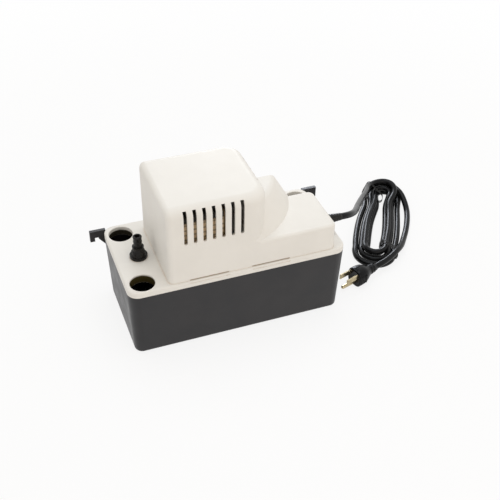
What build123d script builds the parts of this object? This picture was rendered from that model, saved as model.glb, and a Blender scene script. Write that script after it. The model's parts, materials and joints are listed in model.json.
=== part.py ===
from build123d import *
import math
import os

# Condensate pump with a drained reservoir, a shaded-pole motor on a vertical shaft, a centrifugal
# impeller near the tank floor and a float switch. Millimetres, +Z up. The origin is the middle of
# the tank's underside, +X points to the cord end and +Y to the side with the wall hangers.

# Tank
tank_length = 254.0
tank_width = 127.0
tank_height = 84.0
tank_wall = 2.5
tank_floor = 2.5
tank_lean = 3.5
tank_corner_radius = 12.7
tank_foot_radius = 4.0

# Wall hangers on the tank
ear_reach = 15.5
ear_rise = 6.0
ear_thickness = 4.0
ear_finger_width = 5.5
ear_finger_drop = 14.0
ear_notch_width = 4.5
ear_notch_depth = 5.0
ear_gusset_drop = 16.0
ear_deck_gap = 0.4

# Deck that closes the tank
deck_height = 7.0
deck_plate = 2.5
deck_edge_radius = 2.4
deck_rim_width = 4.9
deck_rib_depth = 4.0
deck_rib_clearance = 0.4

# Three drain inlets
inlet_radius = 13.8
inlet_wall = 2.0
inlet_lip_radius = 0.8
front_inlet_end_inset = 18.7
front_inlet_side_inset = 16.4
rear_inlet_end_inset = 17.5
rear_inlet_side_inset = 19.0

# Motor cover: a tall box, a low box and a conical shoulder between them
cover_wall = 2.5
cover_edge_inset = 2.6
cover_left_inset = 45.0
tall_length = 115.0
cover_rear_inset = 13.4
tall_height = 93.0
tall_front_corner_radius = 24.0
tall_rear_corner_radius = 20.0
tall_top_radius = 11.0
tall_left_radius = 6.0
cover_right_inset = 14.0
low_depth = 71.0
low_height = 33.0
low_corner_radius = 7.0
low_top_radius = 3.2
shoulder_height = 33.0
shoulder_slope = 30.0
shoulder_center_inset = 45.9
shoulder_center_setback = 93.0
shoulder_foot_radius = 97.8
shoulder_edge_radius = 7.0

# Cooling slots
vent_width = 4.0
vent_pitch = 10.45
vent_count = 7
vent_first_inset = 20.3
vent_foot = 49.0
vent_head = 90.0
side_vent_count = 5
side_vent_pitch = 10.7
side_vent_first_inset = 35.7
side_vent_foot = 71.5
vent_cut_depth = 11.0

# Latch windows along the foot of the cover, and the tongues behind them
latch_height = 1.3
latch_width = 44.5
latch_left_inset = 45.5
latch_right_inset = 78.0
tongue_thickness = 1.8
tongue_height = 7.0
tongue_gap = 0.3
latch_recess = 0.7

# Motor on a vertical shaft
motor_inset = 42.0
motor_setback = 62.9
shaft_radius = 3.0
bearing_clearance = 0.04
bearing_radius = 5.5
bearing_rise = 1.0
shaft_chamfer = 0.4
core_length = 72.0
core_front = 46.0
core_rear = 22.0
core_leg = 12.0
core_stack = 25.0
core_drop = 25.0
core_corner_radius = 2.0
coil_window = 12.5
air_gap = 0.4
rotor_radius = 15.0
rotor_overhang = 1.0
rotor_chamfer = 1.0
pole_slot = 2.5
pole_bridge = 1.6
ring_notch_depth = 4.0
ring_thickness = 1.4
ring_setback = 1.2
ring_angle = 130.0
bobbin_wall = 1.2
bobbin_gap = 0.3
coil_build = 7.6
coil_end_gap = 1.0
coil_edge_radius = 4.0
bridge_width = 15.0
bridge_thickness = 4.0
bridge_rise = 4.5
boss_radius = 8.5
boss_depth = 2.5
post_radius = 5.0
motor_screw_radius = 2.0
motor_screw_grip = 18.0
screw_clearance = 0.2
screw_tip_gap = 1.0
screw_head_ratio = 1.8
screw_head_height = 2.4

# Cooling fan above the motor
fan_radius = 25.0
fan_rise = 12.0
fan_height = 7.5
fan_disc = 1.4
fan_hub_radius = 6.0
fan_blade_thickness = 1.3
fan_blade_count = 8
fan_blade_inset = 1.0
fan_blade_sweep = 12.0
fan_hub_drop = 1.0

# Pump below the deck
column_radius = 13.0
column_wall = 2.5
column_flange_radius = 25.0
column_flange = 3.0
column_screw_circle = 19.5
column_screw_count = 3
column_screw_angle = 30.0
column_slot_width = 7.0
column_slot_height = 16.0
pump_floor_gap = 8.0
chamber_height = 11.0
casing_wall = 2.4
impeller_radius = 21.5
volute_start = 24.0
volute_growth = 5.0
spiral_steps = 12
nozzle_radius = 5.0
nozzle_reach = 36.0
pipe_wall = 1.5
pipe_socket_depth = 9.0
pipe_bend_radius = 12.0
fit_clearance = 0.1
impeller_hub_radius = 6.5
impeller_disc = 2.0
impeller_vane_thickness = 1.6
impeller_vane_count = 6
impeller_vane_radius = 15.0
impeller_vane_sweep = 40.0
impeller_vane_root = 1.0
impeller_vane_inset = 0.5
impeller_gap = 1.0
eye_radius = 9.0
plate_thickness = 2.4
lug_radius = 4.5
slinger_radius = 9.0
slinger_thickness = 2.0
slinger_rise = 5.0
shaft_drop = 0.5
shaft_hole_gap = 1.5

# Discharge
discharge_end_inset = 26.5
discharge_offset = 4.5
stem_radius = 4.76
stem_rise = 29.0
stem_chamfer = 0.8
stem_bore_radius = 3.2
collar_radius = 6.6
collar_rise = 12.0
collar_height = 3.0
cone_base_radius = 8.0
cone_top_step = 0.8
flange_radius = 10.0
flange_thickness = 2.6
seal_thickness = 1.0
seal_inset = 0.6
spigot_radius = 7.0
spigot_depth = 10.5
valve_radius = 9.4
valve_length = 36.5
valve_seat_land = 2.0
valve_seat_radius = 3.4
valve_chamber_radius = 5.7
ball_radius = 4.6
ball_gap = 0.05
ball_stop_slot = 1.6
ball_stop_slot_depth = 2.0
ball_stop_wall = 1.5

# Float and its arm
pivot_inset = 83.0
pivot_setback = 38.9
pivot_drop = 10.5
pin_radius = 1.5
pin_clearance = 0.05
pin_end_length = 1.0
pin_head_radius = 2.4
pin_head_height = 1.2
hub_radius = 4.0
arm_width = 6.0
arm_thickness = 3.0
arm_tail = 11.0
arm_reach = 18.5
arm_stem_width = 5.0
arm_drop = 34.0
arm_grip = 10.0
cheek_thickness = 2.5
cheek_gap = 0.4
cheek_width = 11.0
bracket_plate = 2.5
bracket_left = -16.0
bracket_right = 24.0
float_near = 32.0
float_far = 78.0
float_width = 56.0
float_center_y = -16.0
float_top_drop = 26.0
float_height = 22.0
float_corner_radius = 7.0
float_edge_radius = 2.5

# Push rod and snap switch in the low box
rod_reach = 14.0
rod_radius = 2.0
rod_clearance = 0.06
rod_gap = 0.3
rod_hole_gap = 1.0
rod_guide_radius = 4.0
rod_guide_height = 2.0
lever_length = 24.0
lever_reach = 20.0
lever_thickness = 0.8
lever_width = 3.6
lever_angle = 17.0
lever_hinge_drop = 21.0
lever_hub_radius = 1.4
lever_pin_radius = 0.8
switch_length = 20.0
switch_height = 10.2
switch_width = 6.4
switch_edge_radius = 0.8
switch_lift = 1.9
switch_hinge_inset = 2.5
switch_screw_radius = 1.1
switch_screw_rise = 2.6
switch_screw_inset = 3.2
button_radius = 1.2
button_reach = 6.0
button_clearance = 0.06
button_depth = 5.0
button_gap = 0.15
button_travel = 2.0
terminal_length = 4.0
terminal_pitch = 7.0
terminal_width = 3.2
terminal_thickness = 0.5
terminal_hole_radius = 0.6
holder_thickness = 2.5
holder_foot = 12.0
holder_margin = 3.5

# How far a cut runs past the face that it opens
cut_margin = 1.0

# Small screws
small_screw_radius = 1.5
small_screw_length = 12.0
cover_boss_radius = 4.2
cover_boss_height = 20.0
cover_boss_inset = 3.0

# Cord, its strain relief, its hank and its plug
cord_diameter = 7.8
gland_setback = 34.9
gland_rise = 15.0
gland_neck_radius = 6.5
gland_flange_radius = 9.5
gland_flange = 2.2
gland_nose = 6.0
gland_nose_radius = 5.2
gland_clearance = 0.1
gland_nut_thickness = 3.0
gland_nut_radius = 10.5
cord_route = [
    (135.0, -26.0, 105.5),
    (150.5, -17.5, 99.5),
    (168.0, 3.5, 85.5),
    (192.0, 37.0, 66.5),
    (219.5, 75.5, 46.5),
    (244.5, 107.5, 30.0),
    (260.0, 131.0, 17.0),
]
hank_x = 240.5
hank_y = 62.5
hank_angle = 59.1
hank_half_length = 98.0
hank_half_width = 36.0
hank_shift = 3.5
hank_height = 17.0
hank_edge_radius = 6.0
hank_gap_half_length = 54.0
hank_gap_half_width = 6.2
hank_gap_along = -19.0
hank_gap_across = -5.0
plug_x = 157.8
plug_y = -32.9
plug_angle = 197.0
plug_length = 15.0
plug_width = 22.0
plug_height = 23.0
plug_edge_radius = 8.0
plug_face_radius = 1.0
plug_taper_length = 9.0
plug_waist = 13.5
plug_neck_length = 13.0
plug_neck_radius = 5.0
plug_floor_gap = 0.2
blade_length = 17.5
blade_width = 6.35
blade_thickness = 1.5
blade_spacing = 12.7
blade_rise = 5.6
ground_pin_radius = 2.4
ground_pin_length = 19.5
ground_pin_spacing = 11.9
blade_root = 4.0

# Places that follow from the sizes
deck_top = tank_height + deck_height
deck_under = deck_top - deck_plate
tall_left = -tank_length / 2 + cover_left_inset
tall_right = tall_left + tall_length
low_right = tank_length / 2 - cover_right_inset
housing_front = -tank_width / 2 + cover_edge_inset
tall_rear = tank_width / 2 - cover_rear_inset
tall_middle = tall_left + tall_length / 2
low_rear = housing_front + low_depth
tall_top = deck_top + tall_height
low_top = deck_top + low_height
motor_x = tall_left + motor_inset
motor_y = housing_front + motor_setback
core_top = tall_top - core_drop
core_base = core_top - core_stack
core_middle = core_base + core_stack / 2
post_span = core_length - core_leg
fan_base = core_top + fan_rise
shaft_top = fan_base + fan_height - shaft_drop
slinger_base = deck_top + slinger_rise
chamber_low = tank_floor + pump_floor_gap
discharge_x = -tank_length / 2 + discharge_end_inset
discharge_y = motor_y - discharge_offset
stem_top = deck_top + stem_rise
collar_base = deck_top + collar_rise
spigot_bottom = deck_under - spigot_depth
valve_bottom = deck_under - valve_length
pipe_top = valve_bottom + pipe_socket_depth
valve_seat_height = pipe_top + valve_seat_land
pivot_x = low_right - pivot_inset
pivot_y = housing_front + pivot_setback
pivot_z = deck_under - pivot_drop
gland_y = housing_front + gland_setback
gland_z = deck_top + gland_rise


def block(low, high):
    """A box from its lowest corner to its highest."""
    size = [b - a for a, b in zip(low, high)]
    middle = [(a + b) / 2 for a, b in zip(low, high)]
    return Pos(*middle) * Box(*size)


def upright(x, y, low, high, radius):
    """A cylinder that stands on low and ends at high."""
    return Pos(x, y, (low + high) / 2) * Cylinder(radius, high - low)


def across(x, y_low, y_high, z, radius):
    """A cylinder that lies along Y."""
    return Pos(x, (y_low + y_high) / 2, z) * Rot(90, 0, 0) * Cylinder(radius, y_high - y_low)


def along(x_low, x_high, y, z, radius):
    """A cylinder that lies along X."""
    return Pos((x_low + x_high) / 2, y, z) * Rot(0, 90, 0) * Cylinder(radius, x_high - x_low)


def slab(length, width, radius, low, high):
    """A rounded rectangle about the tank's middle, raised from low to high."""
    outline = Pos(0, 0, low) * RectangleRounded(length, width, radius)
    return extrude(outline, amount=high - low, dir=(0, 0, 1))


def turned(x, y, profile):
    """A solid turned about the vertical through x, y from points of radius and height."""
    outline = make_face(Plane.XZ * Polyline(*profile, close=True))
    return Pos(x, y, 0) * revolve(outline, Axis.Z)


def screw(x, y, seat, tip, radius):
    """A pan-head screw whose head rests on seat and whose shank ends at tip."""
    outward = 1 if seat > tip else -1
    shank = upright(x, y, min(seat, tip), max(seat, tip), radius)
    crown = seat + outward * screw_head_height
    head = upright(x, y, min(seat, crown), max(seat, crown), radius * screw_head_ratio)
    return shank + head


def tub_form(inset, floor):
    """The tank's leaning outline, inset from its outside and closed at floor."""
    lean = math.degrees(math.atan(tank_lean / tank_height))
    outline = Pos(0, 0, tank_height) * RectangleRounded(
        tank_length - 2 * inset, tank_width - 2 * inset, tank_corner_radius - inset
    )
    form = extrude(outline, amount=tank_height - floor, dir=(0, 0, -1), taper=lean)
    foot = form.faces().sort_by(Axis.Z)[0]
    return fillet(foot.edges(), tank_foot_radius - inset)


def hanger_ear():
    """The hook plate at the tank's right rear corner."""
    rear = tank_width / 2
    front = rear - ear_thickness
    corner = tank_corner_radius
    inner_offset = front - (rear - corner)
    deck_edge = tank_length / 2 - corner + math.sqrt(corner**2 - inner_offset**2)
    start = deck_edge + ear_deck_gap
    tip = tank_length / 2 + ear_reach
    top = tank_height + ear_rise
    notch_right = tip - ear_finger_width
    notch_left = notch_right - ear_notch_width
    notch_top = top - ear_finger_drop + ear_notch_depth
    root = tank_length / 2 - corner
    profile = [
        (root, tank_height),
        (start, tank_height),
        (start, top),
        (tip, top),
        (tip, top - ear_finger_drop),
        (notch_right, top - ear_finger_drop),
        (notch_right, notch_top),
        (notch_left, notch_top),
        (notch_left, notch_top - ear_thickness / 2),
        (start, tank_height - ear_gusset_drop),
        (root, tank_height - ear_gusset_drop),
    ]
    back = Plane((0, rear, 0), x_dir=(1, 0, 0), z_dir=(0, -1, 0))
    outline = make_face(back * Polyline(*profile, close=True))
    return extrude(outline, amount=ear_thickness, dir=(0, -1, 0))


def tank():
    ear = hanger_ear()
    outside = tub_form(0, 0) + ear + mirror(ear, about=Plane.YZ)
    return outside - tub_form(tank_wall, tank_floor)


def inlet_centers():
    """Where drain pipes drop in: two on the left and one at the right rear."""
    front_x = tank_length / 2 - front_inlet_end_inset
    front_y = tank_width / 2 - front_inlet_side_inset
    rear_x = tank_length / 2 - rear_inlet_end_inset
    rear_y = tank_width / 2 - rear_inlet_side_inset
    return [(-front_x, -front_y), (-rear_x, rear_y), (rear_x, rear_y)]


def post_centers():
    return [(motor_x + side * post_span / 2, motor_y) for side in (-1, 1)]


def latch_centers():
    return [tall_left + latch_left_inset, low_right - latch_right_inset]


def cover_boss_centers():
    inset = cover_wall + cover_boss_inset
    rear = tall_rear - inset
    return [
        (tall_left + inset, housing_front + tall_front_corner_radius),
        (tall_left + tall_rear_corner_radius, rear),
        (tall_right - tall_rear_corner_radius - cover_boss_radius, rear),
        (low_right - low_corner_radius - cover_boss_radius, low_rear - inset),
    ]


def column_screw_centers():
    places = []
    for k in range(column_screw_count):
        angle = math.radians(column_screw_angle) + 2 * math.pi * k / column_screw_count
        x = motor_x + column_screw_circle * math.cos(angle)
        y = motor_y + column_screw_circle * math.sin(angle)
        places.append((x, y))
    return places


def bracket_screw_centers():
    margin = 3 * small_screw_radius
    left = pivot_x + bracket_left + margin
    right = pivot_x + bracket_right - margin
    front = pivot_y - cheek_width
    return [(left, pivot_y + cheek_width), (left, front), (right, front)]


def deck_slab(inset, low, high):
    """A slab with the tank's outline, inset from it."""
    radius = tank_corner_radius - inset
    return slab(tank_length - 2 * inset, tank_width - 2 * inset, radius, low, high)


def deck():
    """The deck: rim, locating rib, inlet collars, motor posts, rod guide and latch tongues."""
    rib_bottom = tank_height - deck_rib_depth
    rib_inset = tank_wall + deck_rib_clearance
    post_top = core_base - bridge_rise - bridge_thickness
    guide_top = deck_top + rod_guide_height
    rod_x = pivot_x + rod_reach
    body = deck_slab(0, tank_height, deck_top)
    body = fillet(body.faces().sort_by(Axis.Z)[-1].edges(), deck_edge_radius)
    body += deck_slab(rib_inset, rib_bottom, tank_height)
    body -= deck_slab(deck_rim_width, rib_bottom, deck_under)
    inside = deck_slab(rib_inset, 0, deck_top)
    for x, y in inlet_centers():
        collar = upright(x, y, rib_bottom, deck_under, inlet_radius + inlet_wall)
        body += collar & inside
    for x, y in post_centers():
        body += upright(x, y, deck_under, post_top, post_radius)
    body += upright(rod_x, pivot_y, deck_under, guide_top, rod_guide_radius)
    for x in latch_centers():
        front = housing_front + cover_wall + tongue_gap
        half = latch_width / 2 - tongue_gap
        low = (x - half, front, deck_under)
        body += block(low, (x + half, front + tongue_thickness, deck_top + tongue_height))
    for x, y in inlet_centers():
        body -= upright(x, y, 0, deck_top + cut_margin, inlet_radius)
        rims = body.edges().filter_by(GeomType.CIRCLE)
        body = fillet(rims.sort_by_distance((x, y, deck_top))[0], inlet_lip_radius)
    for x, y in post_centers():
        body -= upright(x, y, post_top - motor_screw_grip, post_top, motor_screw_radius)
    for x in latch_centers():
        outer = -tank_width / 2
        low = (x - latch_width / 2, outer - cut_margin, deck_top - deck_edge_radius)
        body -= block(low, (x + latch_width / 2, outer + latch_recess, deck_top))
    body -= upright(motor_x, motor_y, deck_under, deck_top, shaft_radius + shaft_hole_gap)
    body -= upright(discharge_x, discharge_y, deck_under, deck_top, spigot_radius + fit_clearance)
    body -= upright(rod_x, pivot_y, deck_under, guide_top, rod_radius + rod_clearance)
    for x, y in cover_boss_centers():
        body -= upright(x, y, deck_under, deck_top, small_screw_radius + screw_clearance)
    for x, y in column_screw_centers() + bracket_screw_centers() + holder_screw_centers():
        body -= upright(x, y, deck_under, deck_top, small_screw_radius)
    return body


def nearest_edge(shape, axis, x, y):
    """The straight edge along axis that passes closest to x, y."""
    edges = shape.edges().filter_by(axis)
    return sorted(edges, key=lambda e: math.hypot(e.center().X - x, e.center().Y - y))[0]


def tall_form(inset):
    left = tall_left + inset
    right = tall_right - inset
    front = housing_front + inset
    rear = tall_rear - inset
    form = block((left, front, deck_top), (right, rear, tall_top - inset))
    form = fillet(nearest_edge(form, Axis.Z, right, front), tall_front_corner_radius - inset)
    form = fillet(nearest_edge(form, Axis.Z, right, rear), tall_rear_corner_radius - inset)
    top = form.faces().sort_by(Axis.Z)[-1]
    rim = [edge for edge in top.edges() if edge.center().X > left + cut_margin]
    form = fillet(rim, tall_top_radius - inset)
    side = form.faces().sort_by(Axis.X)[0]
    border = [edge for edge in side.edges() if edge.center().Z > deck_top + cut_margin]
    return fillet(border, tall_left_radius - inset)


def low_form(inset):
    left = tall_middle
    right = low_right - inset
    front = housing_front + inset
    rear = low_rear - inset
    form = block((left, front, deck_top), (right, rear, low_top - inset))
    for y in (front, rear):
        form = fillet(nearest_edge(form, Axis.Z, right, y), low_corner_radius - inset)
    top = form.faces().sort_by(Axis.Z)[-1]
    rim = [edge for edge in top.edges() if edge.center().X > left + cut_margin]
    return fillet(rim, low_top_radius - inset)


def shoulder_form(inset):
    lean = math.tan(math.radians(shoulder_slope))
    foot_radius = shoulder_foot_radius - inset / math.cos(math.radians(shoulder_slope))
    base = low_top - low_top_radius
    top = low_top + shoulder_height - inset
    base_radius = foot_radius + (low_top - base) * lean
    top_radius = foot_radius - (top - low_top) * lean
    center_x = tall_right - shoulder_center_inset
    center_y = housing_front + shoulder_center_setback
    cone = Pos(center_x, center_y, (base + top) / 2) * Cone(base_radius, top_radius, top - base)
    low = (tall_middle, housing_front + inset, base)
    keep = block(low, (low_right, low_rear - inset, top))
    form = cone & keep
    upper = form.faces().sort_by(Axis.Z)[-1]
    crest = [edge for edge in upper.edges() if edge.geom_type == GeomType.CIRCLE]
    return fillet(crest, shoulder_edge_radius - inset)


def housing_form(inset):
    return tall_form(inset) + low_form(inset) + shoulder_form(inset)


def motor_cover():
    """The hollow cover with screw bosses, cooling slots, latch windows and the cord's hole."""
    body = housing_form(0) - housing_form(cover_wall)
    for x, y in cover_boss_centers():
        boss = upright(x, y, deck_top, deck_top + cover_boss_height, cover_boss_radius)
        body += boss & housing_form(cover_wall / 2)
    for x, y in cover_boss_centers():
        body -= upright(x, y, deck_top, deck_top + small_screw_length, small_screw_radius)
    foot = deck_top + vent_foot
    head = deck_top + vent_head
    half = vent_width / 2
    for k in range(vent_count):
        x = tall_left + vent_first_inset + k * vent_pitch
        for y in (housing_front - cut_margin, tall_rear - vent_cut_depth + cut_margin):
            body -= block((x - half, y, foot + half), (x + half, y + vent_cut_depth, head))
            body -= across(x, y, y + vent_cut_depth, foot + half, half)
    for k in range(side_vent_count):
        y = housing_front + side_vent_first_inset + k * side_vent_pitch
        low = (tall_right - vent_cut_depth + cut_margin, y - half, deck_top + side_vent_foot)
        body -= block(low, (tall_right + cut_margin, y + half, head))
    for x in latch_centers():
        low = (x - latch_width / 2, housing_front - cut_margin, deck_top)
        back = housing_front + cover_wall + cut_margin
        body -= block(low, (x + latch_width / 2, back, deck_top + latch_height))
    inner = low_right - 2 * cover_wall
    hole_radius = gland_neck_radius + gland_clearance
    return body - along(inner, low_right, gland_y, gland_z, hole_radius)


def cover_screws():
    tip = deck_top + small_screw_length - screw_tip_gap
    return [screw(x, y, deck_under, tip, small_screw_radius) for x, y in cover_boss_centers()]


def core_window():
    half = core_length / 2 - core_leg
    front = motor_y - core_front + core_leg
    return (motor_x - half, front), (motor_x + half, front + coil_window)


def stator_core():
    """A C-frame stack: the coil's leg in front, the bored pole block behind it."""
    half = core_length / 2
    rear_face = motor_y + core_rear
    low = (motor_x - half, motor_y - core_front, core_base)
    body = block(low, (motor_x + half, rear_face, core_top))
    body = fillet(body.edges().filter_by(Axis.Z), core_corner_radius)
    (left, front), (right, rear) = core_window()
    body -= block((left, front, core_base), (right, rear, core_top))
    body -= upright(motor_x, motor_y, core_base, core_top, rotor_radius + air_gap)
    pole = pole_slot / 2
    body -= block((motor_x - pole, rear, core_base), (motor_x + pole, motor_y, core_top))
    low = (motor_x - pole, motor_y, core_base)
    body -= block(low, (motor_x + pole, rear_face - pole_bridge, core_top))
    notch = Box(ring_notch_depth, ring_thickness, core_stack)
    for x, y, turn in ring_places():
        body -= Pos(x, y, core_middle) * Rot(0, 0, turn) * notch
    for x, y in post_centers():
        body -= upright(x, y, core_base, core_top, motor_screw_radius + screw_clearance)
    return body


def ring_places():
    """Where the shading rings are let into the pole faces: centre and turn of each notch."""
    places = []
    radius = rotor_radius + air_gap + ring_notch_depth / 2 - fit_clearance
    for degrees in (ring_angle, ring_angle + 180):
        angle = math.radians(degrees)
        x = motor_x + radius * math.cos(angle)
        y = motor_y + radius * math.sin(angle)
        places.append((x, y, degrees))
    return places


def shading_rings():
    """Copper straps that lie in the pole notches and fold over both faces of the stack."""
    rings = []
    depth = ring_notch_depth - ring_setback
    shift = ring_setback / 2 - fit_clearance
    for x, y, turn in ring_places():
        strap = Box(depth, ring_thickness - 2 * fit_clearance, core_stack + 2 * ring_thickness)
        tab = Box(depth, 3 * ring_thickness, ring_thickness)
        lift = (core_stack + ring_thickness) / 2
        ring = strap + Pos(0, ring_thickness, lift) * tab + Pos(0, ring_thickness, -lift) * tab
        rings.append(Pos(x, y, core_middle) * Rot(0, 0, turn) * Pos(shift, 0, 0) * ring)
    return rings


def leg_tube(gap, wall, length):
    """A rectangular tube round the coil's leg: its gap to the steel, its wall and its length."""
    y = motor_y - core_front + core_leg / 2
    outer = Box(length, core_leg + 2 * (gap + wall), core_stack + 2 * (gap + wall))
    inner = Box(length, core_leg + 2 * gap, core_stack + 2 * gap)
    return Pos(motor_x, y, core_middle) * (outer - inner)


def coil_bobbin():
    window = core_length - 2 * core_leg
    length = window - 2 * bobbin_gap
    body = leg_tube(bobbin_gap, bobbin_wall, length)
    cheek_build = bobbin_wall + coil_build + coil_end_gap
    for side in (-1, 1):
        cheek = leg_tube(bobbin_gap, cheek_build, bobbin_wall)
        body += Pos(side * (length - bobbin_wall) / 2, 0, 0) * cheek
    return body


def motor_coil():
    """The taped winding between the bobbin's cheeks."""
    window = core_length - 2 * core_leg
    length = window - 2 * bobbin_gap - 2 * bobbin_wall
    body = leg_tube(bobbin_gap + bobbin_wall, coil_build, length)
    reach = core_stack / 2 + coil_build
    edges = body.edges().filter_by(Axis.X)
    outer = [edge for edge in edges if abs(edge.center().Z - core_middle) > reach]
    return fillet(outer, coil_edge_radius)


def bearing_bridge(face, outward):
    """A cast bridge across the stack. face is the stack's face that it stands on."""
    half = bridge_width / 2
    feet = face + outward * bridge_rise
    back = feet + outward * bridge_thickness
    low, high = min(feet, back), max(feet, back)
    span = post_span / 2 + core_leg / 2
    body = block((motor_x - span, motor_y - half, low), (motor_x + span, motor_y + half, high))
    for x, y in post_centers():
        body += upright(x, y, min(face, back), max(face, back), core_leg / 2)
    nose = feet - outward * boss_depth
    body += upright(motor_x, motor_y, min(nose, back), max(nose, back), boss_radius)
    body -= upright(motor_x, motor_y, min(nose, back), max(nose, back), bearing_radius)
    for x, y in post_centers():
        hole_radius = motor_screw_radius + screw_clearance
        body -= upright(x, y, min(face, back), max(face, back), hole_radius)
    return body


def bearing(face, outward):
    feet = face + outward * bridge_rise
    back = feet + outward * (bridge_thickness + bearing_rise)
    nose = feet - outward * boss_depth
    low, high = min(nose, back), max(nose, back)
    sleeve = upright(motor_x, motor_y, low, high, bearing_radius)
    return sleeve - upright(motor_x, motor_y, low, high, shaft_radius + bearing_clearance)


def motor_screws():
    seat = core_top + bridge_rise + bridge_thickness
    tip = core_base - bridge_rise - bridge_thickness - motor_screw_grip + screw_tip_gap
    return [screw(x, y, seat, tip, motor_screw_radius) for x, y in post_centers()]


def motor_shaft():
    bottom = chamber_low + impeller_gap
    body = upright(motor_x, motor_y, bottom, shaft_top, shaft_radius)
    return chamfer(body.edges().filter_by(GeomType.CIRCLE), shaft_chamfer)


def rotor_core():
    low = core_base - rotor_overhang
    high = core_top + rotor_overhang
    body = upright(motor_x, motor_y, low, high, rotor_radius)
    body -= upright(motor_x, motor_y, low, high, shaft_radius)
    circles = body.edges().filter_by(GeomType.CIRCLE)
    rims = [edge for edge in circles if edge.radius > shaft_radius + rotor_chamfer]
    return chamfer(rims, rotor_chamfer)


def cooling_fan():
    """A disc with a hub and swept blades on top."""
    top = fan_base + fan_height
    body = upright(motor_x, motor_y, fan_base, fan_base + fan_disc, fan_radius)
    body += upright(motor_x, motor_y, fan_base, top - fan_hub_drop, fan_hub_radius)
    length = fan_radius - fan_hub_radius
    blade = Box(length - 2 * fan_blade_inset, fan_blade_thickness, fan_height)
    blade = Pos(fan_hub_radius + length / 2, 0, 0) * Rot(0, 0, fan_blade_sweep) * blade
    center = Pos(motor_x, motor_y, fan_base + fan_height / 2)
    for k in range(fan_blade_count):
        body += center * Rot(0, 0, 360 * k / fan_blade_count) * blade
    return body - upright(motor_x, motor_y, fan_base, top, shaft_radius)


def slinger():
    """A rubber disc that throws off water creeping up the shaft."""
    low = slinger_base
    high = low + slinger_thickness
    body = upright(motor_x, motor_y, low, high, slinger_radius)
    body += upright(motor_x, motor_y, high, high + slinger_thickness, slinger_radius / 2)
    return body - upright(motor_x, motor_y, low, high + slinger_thickness, shaft_radius)


def nozzle_line():
    """The volute's outlet line: the direction and the foot of the line that leads to the riser."""
    reach_x = discharge_x - motor_x
    reach_y = discharge_y - motor_y
    distance = math.hypot(reach_x, reach_y)
    offset = volute_start + volute_growth - nozzle_radius
    heading = math.atan2(reach_y, reach_x) - math.asin(offset / distance)
    run = math.sqrt(distance**2 - offset**2)
    direction = Vector(math.cos(heading), math.sin(heading), 0)
    foot = Vector(discharge_x, discharge_y, 0) - direction * run
    return foot, direction, run


def spiral_point(share, extra):
    """A point of the volute's spiral after that share of a turn, extra outside its wall."""
    foot, direction, run = nozzle_line()
    throat = math.atan2(foot.Y - motor_y, foot.X - motor_x)
    radius = volute_start + extra + volute_growth * share
    angle = throat - 2 * math.pi * share
    return motor_x + radius * math.cos(angle), motor_y + radius * math.sin(angle)


def spiral_face(extra, z):
    """The volute's outline, whose radius grows towards the outlet, at height z."""
    points = [(*spiral_point(k / spiral_steps, extra), z) for k in range(spiral_steps + 1)]
    return make_face([Spline(*points), Line(points[-1], points[0])])


def nozzle_height():
    return chamber_low + casing_wall + nozzle_radius


def nozzle_rod(start, end, radius):
    """A cylinder along the outlet line, from start to end past its foot."""
    foot, direction, run = nozzle_line()
    begin = foot + direction * start + Vector(0, 0, nozzle_height())
    plane = Plane(origin=begin, z_dir=direction)
    return extrude(plane * Circle(radius), amount=end - start)


def plate_screw_centers():
    """Three places round the volute, each just outside its wall."""
    return [spiral_point(share, casing_wall + small_screw_radius) for share in (0.25, 0.55, 0.85)]


def pump_column():
    """The column that hangs the volute from the deck, one moulding with the volute."""
    chamber_top = chamber_low + chamber_height
    casing_top = chamber_top + casing_wall
    outer_face = spiral_face(casing_wall, chamber_low)
    body = extrude(outer_face, amount=casing_top - chamber_low, dir=(0, 0, 1))
    body += nozzle_rod(0, nozzle_reach, nozzle_radius + casing_wall)
    for x, y in plate_screw_centers():
        body += upright(x, y, chamber_low, casing_top, lug_radius)
    body += upright(motor_x, motor_y, casing_top - casing_wall, deck_under, column_radius)
    body += upright(motor_x, motor_y, deck_under - column_flange, deck_under, column_flange_radius)
    body -= upright(motor_x, motor_y, casing_top, deck_under, column_radius - column_wall)
    body -= extrude(spiral_face(0, chamber_low), amount=chamber_height, dir=(0, 0, 1))
    body -= nozzle_rod(0, nozzle_reach, nozzle_radius)
    body -= upright(motor_x, motor_y, chamber_top, casing_top, shaft_radius + shaft_hole_gap)
    slot = Box(2 * (column_radius + cut_margin), column_slot_width, column_slot_height)
    slot_center = Pos(motor_x, motor_y, (casing_top + deck_under) / 2)
    for turn in (0, 90):
        body -= slot_center * Rot(0, 0, turn) * slot
    for x, y in plate_screw_centers():
        body -= upright(x, y, chamber_low, chamber_top, small_screw_radius)
    for x, y in column_screw_centers():
        low = deck_under - column_flange
        body -= upright(x, y, low, deck_under, small_screw_radius + screw_clearance)
    return body


def volute_plate():
    """The plate under the volute, with the inlet eye and its three lugs."""
    low = chamber_low - plate_thickness
    body = extrude(spiral_face(casing_wall, low), amount=plate_thickness, dir=(0, 0, 1))
    for x, y in plate_screw_centers():
        body += upright(x, y, low, chamber_low, lug_radius)
    body -= upright(motor_x, motor_y, low, chamber_low, eye_radius)
    for x, y in plate_screw_centers():
        body -= upright(x, y, low, chamber_low, small_screw_radius + screw_clearance)
    return body


def volute_screws():
    seat = chamber_low - plate_thickness
    tip = chamber_low + chamber_height - screw_tip_gap
    return [screw(x, y, seat, tip, small_screw_radius) for x, y in plate_screw_centers()]


def column_screws():
    seat = deck_under - column_flange
    return [screw(x, y, seat, deck_top, small_screw_radius) for x, y in column_screw_centers()]


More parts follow.
